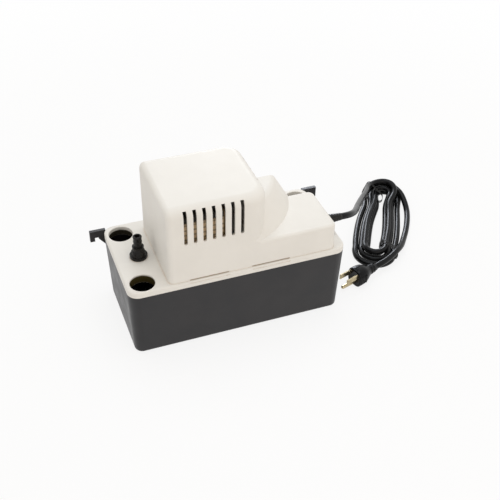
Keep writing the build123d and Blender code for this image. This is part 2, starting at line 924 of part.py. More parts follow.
def impeller():
    """A shrouded hub with backward-curved vanes that face the eye."""
    low = chamber_low + impeller_gap
    high = chamber_low + chamber_height - impeller_gap
    disc_low = high - impeller_disc
    body = upright(motor_x, motor_y, disc_low, high, impeller_radius)
    body += upright(motor_x, motor_y, low, high, impeller_hub_radius)
    sweep_angle = math.radians(impeller_vane_sweep)
    inner = impeller_hub_radius - impeller_vane_root
    outer = impeller_radius - impeller_vane_inset
    tip = (outer * math.cos(sweep_angle), outer * math.sin(sweep_angle))
    arc = RadiusArc((inner, 0), tip, impeller_vane_radius)
    outline = trace(arc, impeller_vane_thickness)
    vane = Pos(motor_x, motor_y, low) * extrude(outline, amount=disc_low - low, dir=(0, 0, 1))
    spin = Axis((motor_x, motor_y, 0), (0, 0, 1))
    for k in range(impeller_vane_count):
        body += vane.rotate(spin, 360 * k / impeller_vane_count)
    return body - upright(motor_x, motor_y, low, high, shaft_radius)


def discharge_pipe():
    """The pipe from the volute's nozzle round an elbow up to the check valve."""
    foot, direction, run = nozzle_line()
    height = Vector(0, 0, nozzle_height())
    radius = nozzle_radius - fit_clearance
    start = foot + direction * (nozzle_reach - pipe_socket_depth) + height
    corner = foot + direction * run + height
    end = Vector(discharge_x, discharge_y, pipe_top)
    path = FilletPolyline(start, corner, end, radius=pipe_bend_radius)
    profile = Plane(origin=start, z_dir=direction) * (Circle(radius) - Circle(radius - pipe_wall))
    return sweep(profile, path=path)


def valve_body():
    """The check valve's cage under the deck, turned as one profile, with a conical ball seat."""
    seat = valve_seat_height
    mouth = seat + (valve_chamber_radius - valve_seat_radius)
    profile = [
        (nozzle_radius, valve_bottom),
        (valve_radius, valve_bottom),
        (valve_radius, deck_under),
        (spigot_radius, deck_under),
        (spigot_radius, spigot_bottom),
        (valve_chamber_radius, spigot_bottom),
        (valve_chamber_radius, mouth),
        (valve_seat_radius, seat),
        (valve_seat_radius, pipe_top),
        (nozzle_radius, pipe_top),
    ]
    return turned(discharge_x, discharge_y, profile)


def valve_ball():
    reach = ball_radius + ball_gap
    offset = math.sqrt(reach**2 - valve_seat_radius**2)
    cone_offset = reach * math.sqrt(2) - valve_seat_radius
    height = valve_seat_height + max(offset, cone_offset)
    return Pos(discharge_x, discharge_y, height) * Sphere(ball_radius)


def discharge_fitting():
    """The outlet stem with its collar, cone and flange, and the spigot that enters the valve."""
    seat = deck_top + seal_thickness
    shelf = seat + flange_thickness
    collar_top = collar_base + collar_height
    profile = [
        (stem_bore_radius, spigot_bottom),
        (spigot_radius, spigot_bottom),
        (spigot_radius, seat),
        (flange_radius, seat),
        (flange_radius, shelf),
        (cone_base_radius, shelf),
        (stem_radius + cone_top_step, collar_base),
        (collar_radius, collar_base),
        (collar_radius, collar_top),
        (stem_radius, collar_top),
        (stem_radius, stem_top - stem_chamfer),
        (stem_radius - stem_chamfer, stem_top),
        (stem_bore_radius, stem_top),
    ]
    body = turned(discharge_x, discharge_y, profile)
    slot_length = 2 * (spigot_radius - ball_stop_wall)
    slot = Box(slot_length, ball_stop_slot, ball_stop_slot_depth)
    foot = Pos(discharge_x, discharge_y, spigot_bottom + ball_stop_slot_depth / 2)
    for turn in (0, 90):
        body -= foot * Rot(0, 0, turn) * slot
    return body


def fitting_seal():
    inner = spigot_radius + fit_clearance
    outer = flange_radius - seal_inset
    ring = upright(discharge_x, discharge_y, deck_top, deck_top + seal_thickness, outer)
    return ring - upright(discharge_x, discharge_y, deck_top, deck_top + seal_thickness, inner)


def float_bracket():
    """A plate under the deck with two cheeks that hold the pivot pin, and the arm's stop."""
    plate_low = deck_under - bracket_plate
    reach = arm_width / 2 + cheek_gap
    half = cheek_width + 3 * small_screw_radius
    low = (pivot_x + bracket_left, pivot_y - half, plate_low)
    body = block(low, (pivot_x + bracket_right, pivot_y + half, deck_under))
    for side in (-1, 1):
        inner = pivot_y + side * reach
        outer = inner + side * cheek_thickness
        near, far = min(inner, outer), max(inner, outer)
        body += across(pivot_x, near, far, pivot_z, cheek_width / 2)
        cheek_low = (pivot_x - cheek_width / 2, near, pivot_z)
        body += block(cheek_low, (pivot_x + cheek_width / 2, far, plate_low))
        body -= across(pivot_x, near, far, pivot_z, pin_radius)
    stop_x = pivot_x - arm_tail
    stop_low = (stop_x, pivot_y - arm_width / 2, pivot_z + arm_thickness / 2 + rod_gap)
    body += block(stop_low, (stop_x + arm_thickness, pivot_y + arm_width / 2, plate_low))
    rod_hole = rod_radius + rod_hole_gap
    body -= upright(pivot_x + rod_reach, pivot_y, plate_low, deck_under, rod_hole)
    for x, y in bracket_screw_centers():
        body -= upright(x, y, plate_low, deck_under, small_screw_radius + screw_clearance)
    return body


def bracket_screws():
    seat = deck_under - bracket_plate
    return [screw(x, y, seat, deck_top, small_screw_radius) for x, y in bracket_screw_centers()]


def float_pin():
    reach = arm_width / 2 + cheek_gap + cheek_thickness
    seat = pivot_y - reach
    shank = across(pivot_x, seat, pivot_y + reach + pin_end_length, pivot_z, pin_radius)
    return shank + across(pivot_x, seat - pin_head_height, seat, pivot_z, pin_head_radius)


def float_arm():
    """The lever: a hub on the pin, a tail that meets the stop, a drop and a foot in the float."""
    half = arm_width / 2
    low = pivot_z - arm_thickness / 2
    high = pivot_z + arm_thickness / 2
    stem_right = pivot_x + arm_reach
    foot = pivot_z - arm_drop
    body = across(pivot_x, pivot_y - half, pivot_y + half, pivot_z, hub_radius)
    body += block((pivot_x - arm_tail, pivot_y - half, low), (stem_right, pivot_y + half, high))
    stem_low = (stem_right - arm_stem_width, pivot_y - half, foot)
    body += block(stem_low, (stem_right, pivot_y + half, high))
    foot_right = pivot_x + float_near + arm_grip
    body += block(stem_low, (foot_right, pivot_y + half, foot + arm_thickness))
    hole = across(pivot_x, pivot_y - half, pivot_y + half, pivot_z, pin_radius + pin_clearance)
    return body - hole


def float_block():
    top = pivot_z - float_top_drop
    low = top - float_height
    near = pivot_x + float_near
    far = pivot_x + float_far
    half = float_width / 2
    body = block((near, float_center_y - half, low), (far, float_center_y + half, top))
    body = fillet(body.edges().filter_by(Axis.Z), float_corner_radius)
    body = fillet(body.faces().sort_by(Axis.Z)[-1].edges(), float_edge_radius)
    body = fillet(body.faces().sort_by(Axis.Z)[0].edges(), float_edge_radius)
    return body - float_arm()


def lever_hinge():
    """The switch lever's pin: its place in X and Z."""
    return pivot_x + rod_reach + lever_reach, low_top - lever_hinge_drop


def rod_tip_heights():
    """The centres of the push rod's round ends, with the arm and the lever at rest."""
    low = pivot_z + arm_thickness / 2 + rod_gap + rod_radius
    hinge_x, hinge_z = lever_hinge()
    lean = math.radians(lever_angle)
    clear = rod_radius + lever_thickness / 2 + rod_gap
    high = hinge_z - lever_reach * math.tan(lean) - clear / math.cos(lean)
    return low, high


def switch_rod():
    x = pivot_x + rod_reach
    low, high = rod_tip_heights()
    body = upright(x, pivot_y, low, high, rod_radius)
    for z in (low, high):
        body += Pos(x, pivot_y, z) * Sphere(rod_radius)
    return body


def switch_lever():
    """A spring-steel leaf hinged at one end, its round eye on the switch's pin."""
    hinge_x, hinge_z = lever_hinge()
    half = lever_width / 2
    leaf = Pos(-lever_length / 2, 0, 0) * Box(lever_length, lever_width, lever_thickness)
    eye = across(0, -half, half, 0, lever_hub_radius)
    hole = across(0, -half, half, 0, lever_pin_radius + pin_clearance)
    return Pos(hinge_x, pivot_y, hinge_z) * Rot(0, -lever_angle, 0) * (leaf + eye - hole)


def switch_box():
    """The switch's lowest and highest corners."""
    hinge_x, hinge_z = lever_hinge()
    right = hinge_x + switch_hinge_inset
    low = (right - switch_length, pivot_y - switch_width / 2, hinge_z + switch_lift)
    high = (right, pivot_y + switch_width / 2, hinge_z + switch_lift + switch_height)
    return low, high


def button_x():
    hinge_x, hinge_z = lever_hinge()
    return hinge_x - button_reach


def switch_hole_places():
    low, high = switch_box()
    z = high[2] - switch_screw_rise
    return [(low[0] + switch_screw_inset, z), (high[0] - switch_screw_inset, z)]


def switch_body():
    """The snap switch: its case, two lugs with the lever's pin, the button's hole, screw holes."""
    low, high = switch_box()
    hinge_x, hinge_z = lever_hinge()
    body = block(low, high)
    body = fillet(body.edges().filter_by(Axis.Y), switch_edge_radius)
    half = switch_width / 2
    inner = lever_width / 2 + 2 * pin_clearance
    for side in (-1, 1):
        near = pivot_y + side * inner
        far = pivot_y + side * half
        y_low, y_high = min(near, far), max(near, far)
        body += across(hinge_x, y_low, y_high, hinge_z, lever_hub_radius)
        lug_low = (hinge_x - lever_hub_radius, y_low, hinge_z)
        body += block(lug_low, (hinge_x + lever_hub_radius, y_high, low[2] + lever_hub_radius))
    body += across(hinge_x, pivot_y - half, pivot_y + half, hinge_z, lever_pin_radius)
    hole_top = low[2] + button_depth + button_travel
    body -= upright(button_x(), pivot_y, low[2], hole_top, button_radius + button_clearance)
    for x, z in switch_hole_places():
        body -= across(x, low[1], high[1], z, switch_screw_radius)
    return body


def button_tip():
    """The button's lower end, just above the leaf."""
    hinge_x, hinge_z = lever_hinge()
    lean = math.radians(lever_angle)
    rise = lever_thickness / 2 / math.cos(lean) + button_gap
    return hinge_z - button_reach * math.tan(lean) + rise


def switch_button():
    low, high = switch_box()
    bottom = button_tip() + button_radius
    top = low[2] + button_depth - button_travel
    tip = Pos(button_x(), pivot_y, bottom) * Sphere(button_radius)
    return upright(button_x(), pivot_y, bottom, top, button_radius) + tip


def switch_terminals():
    low, high = switch_box()
    half = terminal_thickness / 2
    width = terminal_width / 2
    foot = high[2]
    head = foot + terminal_length
    tabs = []
    for step in (-1, 0, 1):
        x = (low[0] + high[0]) / 2 + step * terminal_pitch
        tab = block((x - width, pivot_y - half, foot), (x + width, pivot_y + half, head))
        hole = across(x, pivot_y - half, pivot_y + half, (foot + head) / 2, terminal_hole_radius)
        tabs.append(tab - hole)
    return tabs


def holder_plane():
    """The Y of the switch holder's two faces."""
    low, high = switch_box()
    return high[1], high[1] + holder_thickness


def holder_screw_centers():
    low, high = switch_box()
    near, far = holder_plane()
    y = far + holder_foot - 3 * small_screw_radius
    return [(low[0] + holder_margin, y), (high[0] - holder_margin, y)]


def switch_holder():
    """An angle plate that stands on the deck behind the switch."""
    low, high = switch_box()
    near, far = holder_plane()
    foot_top = deck_top + holder_thickness
    body = block((low[0], near, deck_top), (high[0], far, high[2]))
    body += block((low[0], near, deck_top), (high[0], far + holder_foot, foot_top))
    for x, z in switch_hole_places():
        body -= across(x, near, far, z, switch_screw_radius)
    for x, y in holder_screw_centers():
        body -= upright(x, y, deck_top, foot_top, small_screw_radius + screw_clearance)
    return body


def switch_screws():
    """Two screws through the switch into its holder and two through the holder's foot."""
    low, high = switch_box()
    near, far = holder_plane()
    seat = low[1]
    radius = switch_screw_radius
    screws = []
    for x, z in switch_hole_places():
        shank = across(x, seat, far, z, radius)
        head = across(x, seat - screw_head_height, seat, z, radius * screw_head_ratio)
        screws.append(shank + head)
    for x, y in holder_screw_centers():
        screws.append(screw(x, y, deck_top + holder_thickness, deck_under, small_screw_radius))
    return screws


def turned_about_x(x, y, z, profile):
    """A solid turned about the line along X through y, z from points of distance and radius."""
    outline = make_face(Polyline(*profile, close=True))
    return Pos(x, y, z) * revolve(outline, Axis.X)


def strain_relief():
    """A threaded neck through the wall, a flange outside it and a tapered nose round the cord."""
    bore = cord_diameter / 2
    inner = cover_wall + gland_nut_thickness
    profile = [
        (-inner, bore),
        (-inner, gland_neck_radius),
        (0, gland_neck_radius),
        (0, gland_flange_radius),
        (gland_flange, gland_flange_radius),
        (gland_flange, gland_neck_radius),
        (gland_nose, gland_nose_radius),
        (gland_nose, bore),
    ]
    return turned_about_x(low_right, gland_y, gland_z, profile)


def gland_nut():
    """The hexagonal nut inside the wall."""
    face = low_right - cover_wall
    hexagon = Pos(face, gland_y, gland_z) * Rot(0, -90, 0) * RegularPolygon(gland_nut_radius, 6)
    body = extrude(hexagon, amount=gland_nut_thickness, dir=(-1, 0, 0))
    return body - along(face - gland_nut_thickness, face, gland_y, gland_z, gland_neck_radius)


def cord_path_points():
    return [(low_right + gland_nose, gland_y, gland_z)] + cord_route


def corner_radii(points):
    """The largest arc that each corner of a route leaves room for."""
    vectors = [Vector(*p) for p in points]
    radii = []
    for before, here, after in zip(vectors, vectors[1:], vectors[2:]):
        turn = (here - before).get_angle(after - here)
        run = min((here - before).length, (after - here).length)
        radii.append(0.45 * run / math.tan(math.radians(turn / 2)))
    return radii


def cord_lead():
    points = cord_path_points()
    radii = corner_radii(points)
    print("cord radii", [round(r) for r in radii])
    path = FilletPolyline(*points, radius=radii)
    start = Plane(origin=points[0], z_dir=path % 0)
    tube = sweep(start * Circle(cord_diameter / 2), path=path)
    share = tube.volume / (math.pi * cord_diameter**2 / 4) / path.length
    print("cord lead length", round(path.length, 1), "volume share", round(share, 4))
    return tube


def hank_place():
    return Pos(hank_x, hank_y, 0) * Rot(0, 0, hank_angle)


def cord_coil():
    """The tied hank's outer shape: an oval ring with a narrow gap."""
    outline = Pos(0, -hank_shift, 0) * Ellipse(hank_half_length, hank_half_width)
    gap_place = Pos(hank_gap_along, -hank_gap_across - hank_shift, 0)
    gap = gap_place * Ellipse(hank_gap_half_length, hank_gap_half_width)
    body = extrude(outline - gap, amount=hank_height, dir=(0, 0, 1))
    rim = max(body.faces().sort_by(Axis.Z)[-1].edges(), key=lambda edge: edge.length)
    body = fillet(rim, hank_edge_radius)
    return hank_place() * Pos(0, 0, plug_floor_gap) * body


def plug_place():
    """The plug lies on the surface: +X of its own frame runs from its face to the blades' tips."""
    return Pos(plug_x, plug_y, plug_height / 2 + plug_floor_gap) * Rot(0, 0, plug_angle)


def blade_boxes(start, end):
    """The two flat blades of the plug, from start to end along it."""
    half_width = blade_width / 2
    half_blade = blade_thickness / 2
    boxes = []
    for y in (-blade_spacing / 2, blade_spacing / 2):
        low = (start, y - half_blade, blade_rise - half_width)
        boxes.append(block(low, (end, y + half_blade, blade_rise + half_width)))
    return boxes


def plug_body():
    """The moulded plug: a rounded grip, a tapering back and a neck that narrows to the cord."""
    half = plug_width / 2
    rise = plug_height / 2
    body = block((-plug_length, -half, -rise), (0, half, rise))
    body = fillet(body.edges().filter_by(Axis.X), plug_edge_radius)
    body = fillet(body.faces().sort_by(Axis.X)[-1].edges(), plug_face_radius)
    back = Rot(0, -90, 0)
    shoulder = Pos(-plug_length, 0, 0) * back
    waist = Pos(-plug_length - plug_taper_length, 0, 0) * back
    tip = Pos(-plug_length - plug_taper_length - plug_neck_length, 0, 0) * back
    grip = shoulder * RectangleRounded(plug_height, plug_width, plug_edge_radius)
    narrow = waist * Circle(plug_waist / 2)
    body += loft([grip.face(), narrow.face()])
    body += loft([narrow.face(), (tip * Circle(plug_neck_radius)).face()])
    for blade in blade_boxes(-blade_root, 0):
        body -= blade
    body -= along(-blade_root, 0, 0, blade_rise - ground_pin_spacing, ground_pin_radius)
    return plug_place() * body


def plug_blades():
    return [plug_place() * blade for blade in blade_boxes(-blade_root, blade_length)]


def plug_ground_pin():
    height = blade_rise - ground_pin_spacing
    shoulder = ground_pin_length - ground_pin_radius
    pin = along(-blade_root, shoulder, 0, height, ground_pin_radius)
    return plug_place() * (pin + Pos(shoulder, 0, height) * Sphere(ground_pin_radius))


nodes = {
    "tank": tank,
    "deck": deck,
    "motor_cover": motor_cover,
    "cover_screws": cover_screws,
    "stator_core": stator_core,
    "shading_rings": shading_rings,
    "coil_bobbin": coil_bobbin,
    "motor_coil": motor_coil,
    "upper_bearing_bridge": lambda: bearing_bridge(core_top, 1),
    "lower_bearing_bridge": lambda: bearing_bridge(core_base, -1),
    "upper_bearing": lambda: bearing(core_top, 1),
    "lower_bearing": lambda: bearing(core_base, -1),
    "motor_screws": motor_screws,
    "motor_shaft": motor_shaft,
    "rotor_core": rotor_core,
    "cooling_fan": cooling_fan,
    "slinger": slinger,
    "pump_column": pump_column,
    "volute_plate": volute_plate,
    "volute_screws": volute_screws,
    "column_screws": column_screws,
    "impeller": impeller,
    "discharge_pipe": discharge_pipe,
    "valve_body": valve_body,
    "valve_ball": valve_ball,
    "discharge_fitting": discharge_fitting,
    "fitting_seal": fitting_seal,
    "float_bracket": float_bracket,
    "bracket_screws": bracket_screws,
    "float_pin": float_pin,
    "float_arm": float_arm,
    "float_block": float_block,
    "switch_rod": switch_rod,
    "switch_lever": switch_lever,
    "switch_body": switch_body,
    "switch_button": switch_button,
    "switch_terminals": switch_terminals,
    "switch_holder": switch_holder,
    "switch_screws": switch_screws,
    "strain_relief": strain_relief,
    "gland_nut": gland_nut,
    "cord_lead": cord_lead,
    "cord_coil": cord_coil,
    "plug_body": plug_body,
    "plug_blades": plug_blades,
    "plug_ground_pin": plug_ground_pin,
}

os.makedirs("parts", exist_ok=True)
for name, make in nodes.items():
    shape = make()
    solids = shape if isinstance(shape, list) else [shape]
    group = [solid for piece in solids for solid in piece.solids()]
    export_step(group[0] if len(group) == 1 else Compound(children=group), f"parts/{name}.step")
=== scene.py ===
import json
import math

import bmesh
import bpy
from mathutils import Matrix, Vector


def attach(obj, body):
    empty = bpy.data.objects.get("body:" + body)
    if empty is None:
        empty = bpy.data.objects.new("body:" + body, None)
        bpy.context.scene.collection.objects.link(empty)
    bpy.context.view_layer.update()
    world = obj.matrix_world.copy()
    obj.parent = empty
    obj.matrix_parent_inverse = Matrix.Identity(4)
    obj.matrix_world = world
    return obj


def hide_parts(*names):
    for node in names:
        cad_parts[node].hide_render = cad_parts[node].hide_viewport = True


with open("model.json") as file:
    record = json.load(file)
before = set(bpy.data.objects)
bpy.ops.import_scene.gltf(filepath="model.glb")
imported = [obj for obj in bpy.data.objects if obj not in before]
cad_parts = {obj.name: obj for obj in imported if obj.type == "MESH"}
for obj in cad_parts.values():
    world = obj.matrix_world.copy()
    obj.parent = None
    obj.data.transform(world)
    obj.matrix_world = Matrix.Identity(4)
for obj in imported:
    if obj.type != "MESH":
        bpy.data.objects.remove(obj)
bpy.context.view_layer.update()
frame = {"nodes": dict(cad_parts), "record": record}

# Camera, set by the place that it looks at and its own turn about that place
camera = {
    "target": (0.061894, 0.074186, 0.0),
    "azimuth": -21.160,
    "elevation": 38.487,
    "roll": 1.145,
    "distance": 1.1313,
    "lens": 62.89,
}

def makeCamera(c):
    az, el = math.radians(c["azimuth"]), math.radians(c["elevation"])
    # the line of sight at azimuth 0 runs along +Y
    sight = Vector((-math.sin(az) * math.cos(el), math.cos(az) * math.cos(el), -math.sin(el)))
    right = sight.cross(Vector((0, 0, 1))).normalized()
    up = right.cross(sight)
    turn = math.radians(c["roll"])
    rightTurned = right * math.cos(turn) + up * math.sin(turn)
    upTurned = up * math.cos(turn) - right * math.sin(turn)
    data = bpy.data.cameras.new("view")
    data.lens = c["lens"]
    data.sensor_width = 36.0
    data.clip_end = 20.0
    view = bpy.data.objects.new("view", data)
    bpy.context.scene.collection.objects.link(view)
    rows = Matrix((rightTurned, upTurned, -sight)).transposed()
    view.matrix_world = Matrix.Translation(Vector(c["target"]) - sight * c["distance"]) @ rows.to_4x4()
    bpy.context.scene.camera = view

makeCamera(camera)
bpy.context.scene.view_settings.view_transform = "Standard"
print("camera placed")

# Studio: a white floor and surround, two soft lamps and one that only gloss shows
studio = {
    "floorColor": (0.90, 0.90, 0.90, 1),
    "floorGlow": 0.84,
    "floorFade": (0.35, 1.1),  # the floor whitens between these distances, so no horizon shows
    "ambientColor": (1.0, 0.955, 0.90, 1),
    "ambient": 0.74,
    "lamps": [
        {
            "name": "key", "place": (0.14, 0.28, 1.45), "size": 1.2, "watts": 5.9,
            "color": (0.92, 1.0, 1.09), "glossOnly": False,
        },
        {
            "name": "glint", "place": (0.45, 1.15, 0.55), "size": 0.6, "watts": 11.0,
            "color": (0.93, 0.98, 1.07), "glossOnly": True,
        },
        {
            "name": "fill", "place": (0.35, -1.30, 0.55), "size": 1.0, "watts": 2.5,
            "color": (1.0, 0.88, 0.78), "glossOnly": False,
        },
    ],
    "lampAim": (0.06, 0.02, 0.05),
    "floorSize": 4.0,
}

def seenDirectly(nodes, links):
    # 1 for rays that show the surround itself, straight or in gloss and glass
    path = nodes.new("ShaderNodeLightPath")
    first = nodes.new("ShaderNodeMath")
    first.operation = "MAXIMUM"
    second = nodes.new("ShaderNodeMath")
    second.operation = "MAXIMUM"
    links.new(path.outputs["Is Camera Ray"], first.inputs[0])
    links.new(path.outputs["Is Glossy Ray"], first.inputs[1])
    links.new(first.outputs[0], second.inputs[0])
    links.new(path.outputs["Is Transmission Ray"], second.inputs[1])
    return second.outputs[0]

def makeStudio(s):
    mat = bpy.data.materials.new("studioWhite")
    mat.use_nodes = True
    nodes, links = mat.node_tree.nodes, mat.node_tree.links
    nodes.clear()
    out = nodes.new("ShaderNodeOutputMaterial")
    paper = nodes.new("ShaderNodeBsdfDiffuse")
    paper.inputs["Color"].default_value = s["floorColor"]
    glow = nodes.new("ShaderNodeEmission")
    glow.inputs["Strength"].default_value = 1.0
    share = nodes.new("ShaderNodeMath")
    share.operation = "MULTIPLY"
    mix = nodes.new("ShaderNodeMixShader")
    away = nodes.new("ShaderNodeVectorMath")
    away.operation = "LENGTH"
    links.new(nodes.new("ShaderNodeTexCoord").outputs["Object"], away.inputs[0])
    fade = nodes.new("ShaderNodeMapRange")
    fade.interpolation_type = "SMOOTHSTEP"
    near, far = s["floorFade"]
    for title, value in (("From Min", near), ("From Max", far), ("To Min", s["floorGlow"]), ("To Max", 1.0)):
        fade.inputs[title].default_value = value
    links.new(away.outputs["Value"], fade.inputs["Value"])
    links.new(fade.outputs["Result"], share.inputs[1])
    links.new(seenDirectly(nodes, links), share.inputs[0])
    links.new(share.outputs[0], mix.inputs[0])
    links.new(paper.outputs[0], mix.inputs[1])
    links.new(glow.outputs[0], mix.inputs[2])
    links.new(mix.outputs[0], out.inputs[0])
    bm = bmesh.new()
    bmesh.ops.create_grid(bm, x_segments=1, y_segments=1, size=s["floorSize"])
    mesh = bpy.data.meshes.new("floor")
    bm.to_mesh(mesh)
    bm.free()
    floor = bpy.data.objects.new("floor", mesh)
    bpy.context.scene.collection.objects.link(floor)
    mesh.materials.append(mat)
    world = bpy.data.worlds.new("studio")
    bpy.context.scene.world = world
    world.use_nodes = True
    nodes, links = world.node_tree.nodes, world.node_tree.links
    nodes.clear()
    out = nodes.new("ShaderNodeOutputWorld")
    soft = nodes.new("ShaderNodeBackground")
    soft.inputs["Color"].default_value = s["ambientColor"]
    soft.inputs["Strength"].default_value = s["ambient"]
    seen = nodes.new("ShaderNodeBackground")
    seen.inputs["Color"].default_value = (1, 1, 1, 1)
    seen.inputs["Strength"].default_value = 1.0
    mix = nodes.new("ShaderNodeMixShader")
    links.new(seenDirectly(nodes, links), mix.inputs[0])
    links.new(soft.outputs[0], mix.inputs[1])
    links.new(seen.outputs[0], mix.inputs[2])
    links.new(mix.outputs[0], out.inputs[0])
    for lamp in s["lamps"]:
        data = bpy.data.lights.new(lamp["name"], "AREA")
        data.shape = "DISK"
        data.size = lamp["size"]
        data.energy = lamp["watts"]
        data.color = lamp["color"]
        piece = bpy.data.objects.new(lamp["name"], data)
        bpy.context.scene.collection.objects.link(piece)
        piece.location = lamp["place"]
        piece.visible_diffuse = not lamp["glossOnly"]
        aim = Vector(s["lampAim"]) - Vector(lamp["place"])
        piece.rotation_euler = aim.to_track_quat("-Z", "Y").to_euler()

makeStudio(studio)
print("studio lit")

# Shared shader groups: each puts out a height, a mask or a colour that changes over the surface.
# Widths, reaches and heights are in metres, scales per metre
effects = {
    "waveScale": 34.0,
    "cloud": (0.35, 0.68),
    "streakScale": 2.6,  # times the cloud's scale
    "streak": (0.22, 0.78),
    "rubAndHighlightWidth": 0.0008,
    "rubAndHighlightBend": (0.999, 0.93),  # cosine between a face and its rounded edge
    "rubAndHighlightPatches": (160.0, 0.38, 0.62),
    "grimeAndShadeReach": 0.005,
    "grimeAndShadeDepth": (0.75, 0.25),  # share of the surroundings that a place sees
    "grimeAndShadePatches": (90.0, 0.3, 0.65, 0.45),
    "linesWanderScale": 120.0,
    "linesGrain": 0.4,  # what is left of the grain where a finish has lines
    "linesGap": 0.45,  # height below which a line darkens
    "linesShade": 0.35,  # times the base colour
    "soilDulls": 0.25,  # added to the roughness by full soil
}

def newGroup(name, inputs, outputs):
    group = bpy.data.node_groups.new(name, "ShaderNodeTree")
    for title, kind, value in inputs:
        made = group.interface.new_socket(name=title, in_out="INPUT", socket_type=kind)
        if value is not None:
            made.default_value = value
    for title, kind in outputs:
        group.interface.new_socket(name=title, in_out="OUTPUT", socket_type=kind)
    return group, group.nodes.new("NodeGroupInput"), group.nodes.new("NodeGroupOutput")

def addNoise(nodes, links, place, scale, detail, rough=0.5):
    noise = nodes.new("ShaderNodeTexNoise")
    noise.inputs["Detail"].default_value = detail
    noise.inputs["Roughness"].default_value = rough
    links.new(place, noise.inputs["Vector"])
    if isinstance(scale, (int, float)):
        noise.inputs["Scale"].default_value = scale
    else:
        links.new(scale, noise.inputs["Scale"])
    return noise.outputs["Fac"]

def addMath(nodes, links, kind, a, b, clamp=False):
    node = nodes.new("ShaderNodeMath")
    node.operation = kind
    node.use_clamp = clamp
    for socket, value in zip(node.inputs, (a, b)):
        if isinstance(value, (int, float)):
            socket.default_value = value
        elif value is not None:
            links.new(value, socket)
    return node.outputs[0]

def addRange(nodes, links, value, low, high, toLow=0.0, toHigh=1.0, smooth=False):
    node = nodes.new("ShaderNodeMapRange")
    node.interpolation_type = "SMOOTHSTEP" if smooth else "LINEAR"
    links.new(value, node.inputs["Value"])
    for title, given in (("From Min", low), ("From Max", high), ("To Min", toLow), ("To Max", toHigh)):
        if isinstance(given, (int, float)):
            node.inputs[title].default_value = given
        else:
            links.new(given, node.inputs[title])
    return node.outputs["Result"]

def addMix(nodes, links, factor, a, b, kind="MIX"):
    node = nodes.new("ShaderNodeMix")
    node.data_type = "RGBA"
    node.blend_type = kind
    if isinstance(factor, (int, float)):
        node.inputs[0].default_value = factor
    else:
        links.new(factor, node.inputs[0])
    for index, value in ((6, a), (7, b)):
        if isinstance(value, tuple):
            node.inputs[index].default_value = value
        else:
            links.new(value, node.inputs[index])
    return node.outputs[2]

def makeGrain():
    # mould texture: a fine grain on a slow waviness from cooling
    group, given, out = newGroup(
        "mouldGrain",
        [("Vector", "NodeSocketVector", None), ("Fine Scale", "NodeSocketFloat", 2400.0),
         ("Wave", "NodeSocketFloat", 0.3)],
        [("Height", "NodeSocketFloat")],
    )
    nodes, links = group.nodes, group.links
    fine = addNoise(nodes, links, given.outputs["Vector"], given.outputs["Fine Scale"], detail=2.0)
    slow = addNoise(nodes, links, given.outputs["Vector"], effects["waveScale"], detail=1.0)
    wave = addMath(nodes, links, "MULTIPLY", slow, given.outputs["Wave"])
    links.new(addMath(nodes, links, "ADD", fine, wave), out.inputs["Height"])
    return group

def makeMottle():
    # cloudy unevenness of a moulded or cast colour, and the matching change of gloss
    group, given, out = newGroup(
        "colourMottle",
        [("Vector", "NodeSocketVector", None), ("Base", "NodeSocketColor", (0.5, 0.5, 0.5, 1)),
         ("Tint", "NodeSocketColor", (0.5, 0.5, 0.5, 1)), ("Scale", "NodeSocketFloat", 30.0),
         ("Smooth Rough", "NodeSocketFloat", 0.4), ("Dull Rough", "NodeSocketFloat", 0.55)],
        [("Color", "NodeSocketColor"), ("Roughness", "NodeSocketFloat")],
    )
    nodes, links = group.nodes, group.links
    cloud = addNoise(nodes, links, given.outputs["Vector"], given.outputs["Scale"], detail=5.0, rough=0.6)
    mask = addRange(nodes, links, cloud, *effects["cloud"], smooth=True)
    links.new(addMix(nodes, links, mask, given.outputs["Base"], given.outputs["Tint"]), out.inputs["Color"])
    finer = addMath(nodes, links, "MULTIPLY", given.outputs["Scale"], effects["streakScale"])
    streak = addNoise(nodes, links, given.outputs["Vector"], finer, detail=2.0)
    rough = addRange(
        nodes, links, streak, *effects["streak"],
        given.outputs["Smooth Rough"], given.outputs["Dull Rough"], smooth=True)
    links.new(rough, out.inputs["Roughness"])
    return group

def makeEdgeRubAndHighlight():
    # 1 on outer edges, broken up: wear where handling polishes or pales them, and a painted highlight along
    #                              the edges
    group, given, out = newGroup(
        "edgeRubAndHighlight",
        [("Vector", "NodeSocketVector", None), ("Width", "NodeSocketFloat", 0.0009)],
        [("Mask", "NodeSocketFloat")],
    )
    nodes, links = group.nodes, group.links
    bevel = nodes.new("ShaderNodeBevel")
    bevel.samples = 4
    links.new(given.outputs["Width"], bevel.inputs["Radius"])
    face = nodes.new("ShaderNodeNewGeometry")
    dot = nodes.new("ShaderNodeVectorMath")
    dot.operation = "DOT_PRODUCT"
    links.new(bevel.outputs[0], dot.inputs[0])
    links.new(face.outputs["Normal"], dot.inputs[1])
    edge = addRange(nodes, links, dot.outputs["Value"], *effects["rubAndHighlightBend"], smooth=True)
    scale, low, high = effects["rubAndHighlightPatches"]
    patches = addNoise(nodes, links, given.outputs["Vector"], scale, detail=4.0, rough=0.65)
    broken = addRange(nodes, links, patches, low, high)
    links.new(addMath(nodes, links, "MULTIPLY", edge, broken, True), out.inputs["Mask"])
    return group

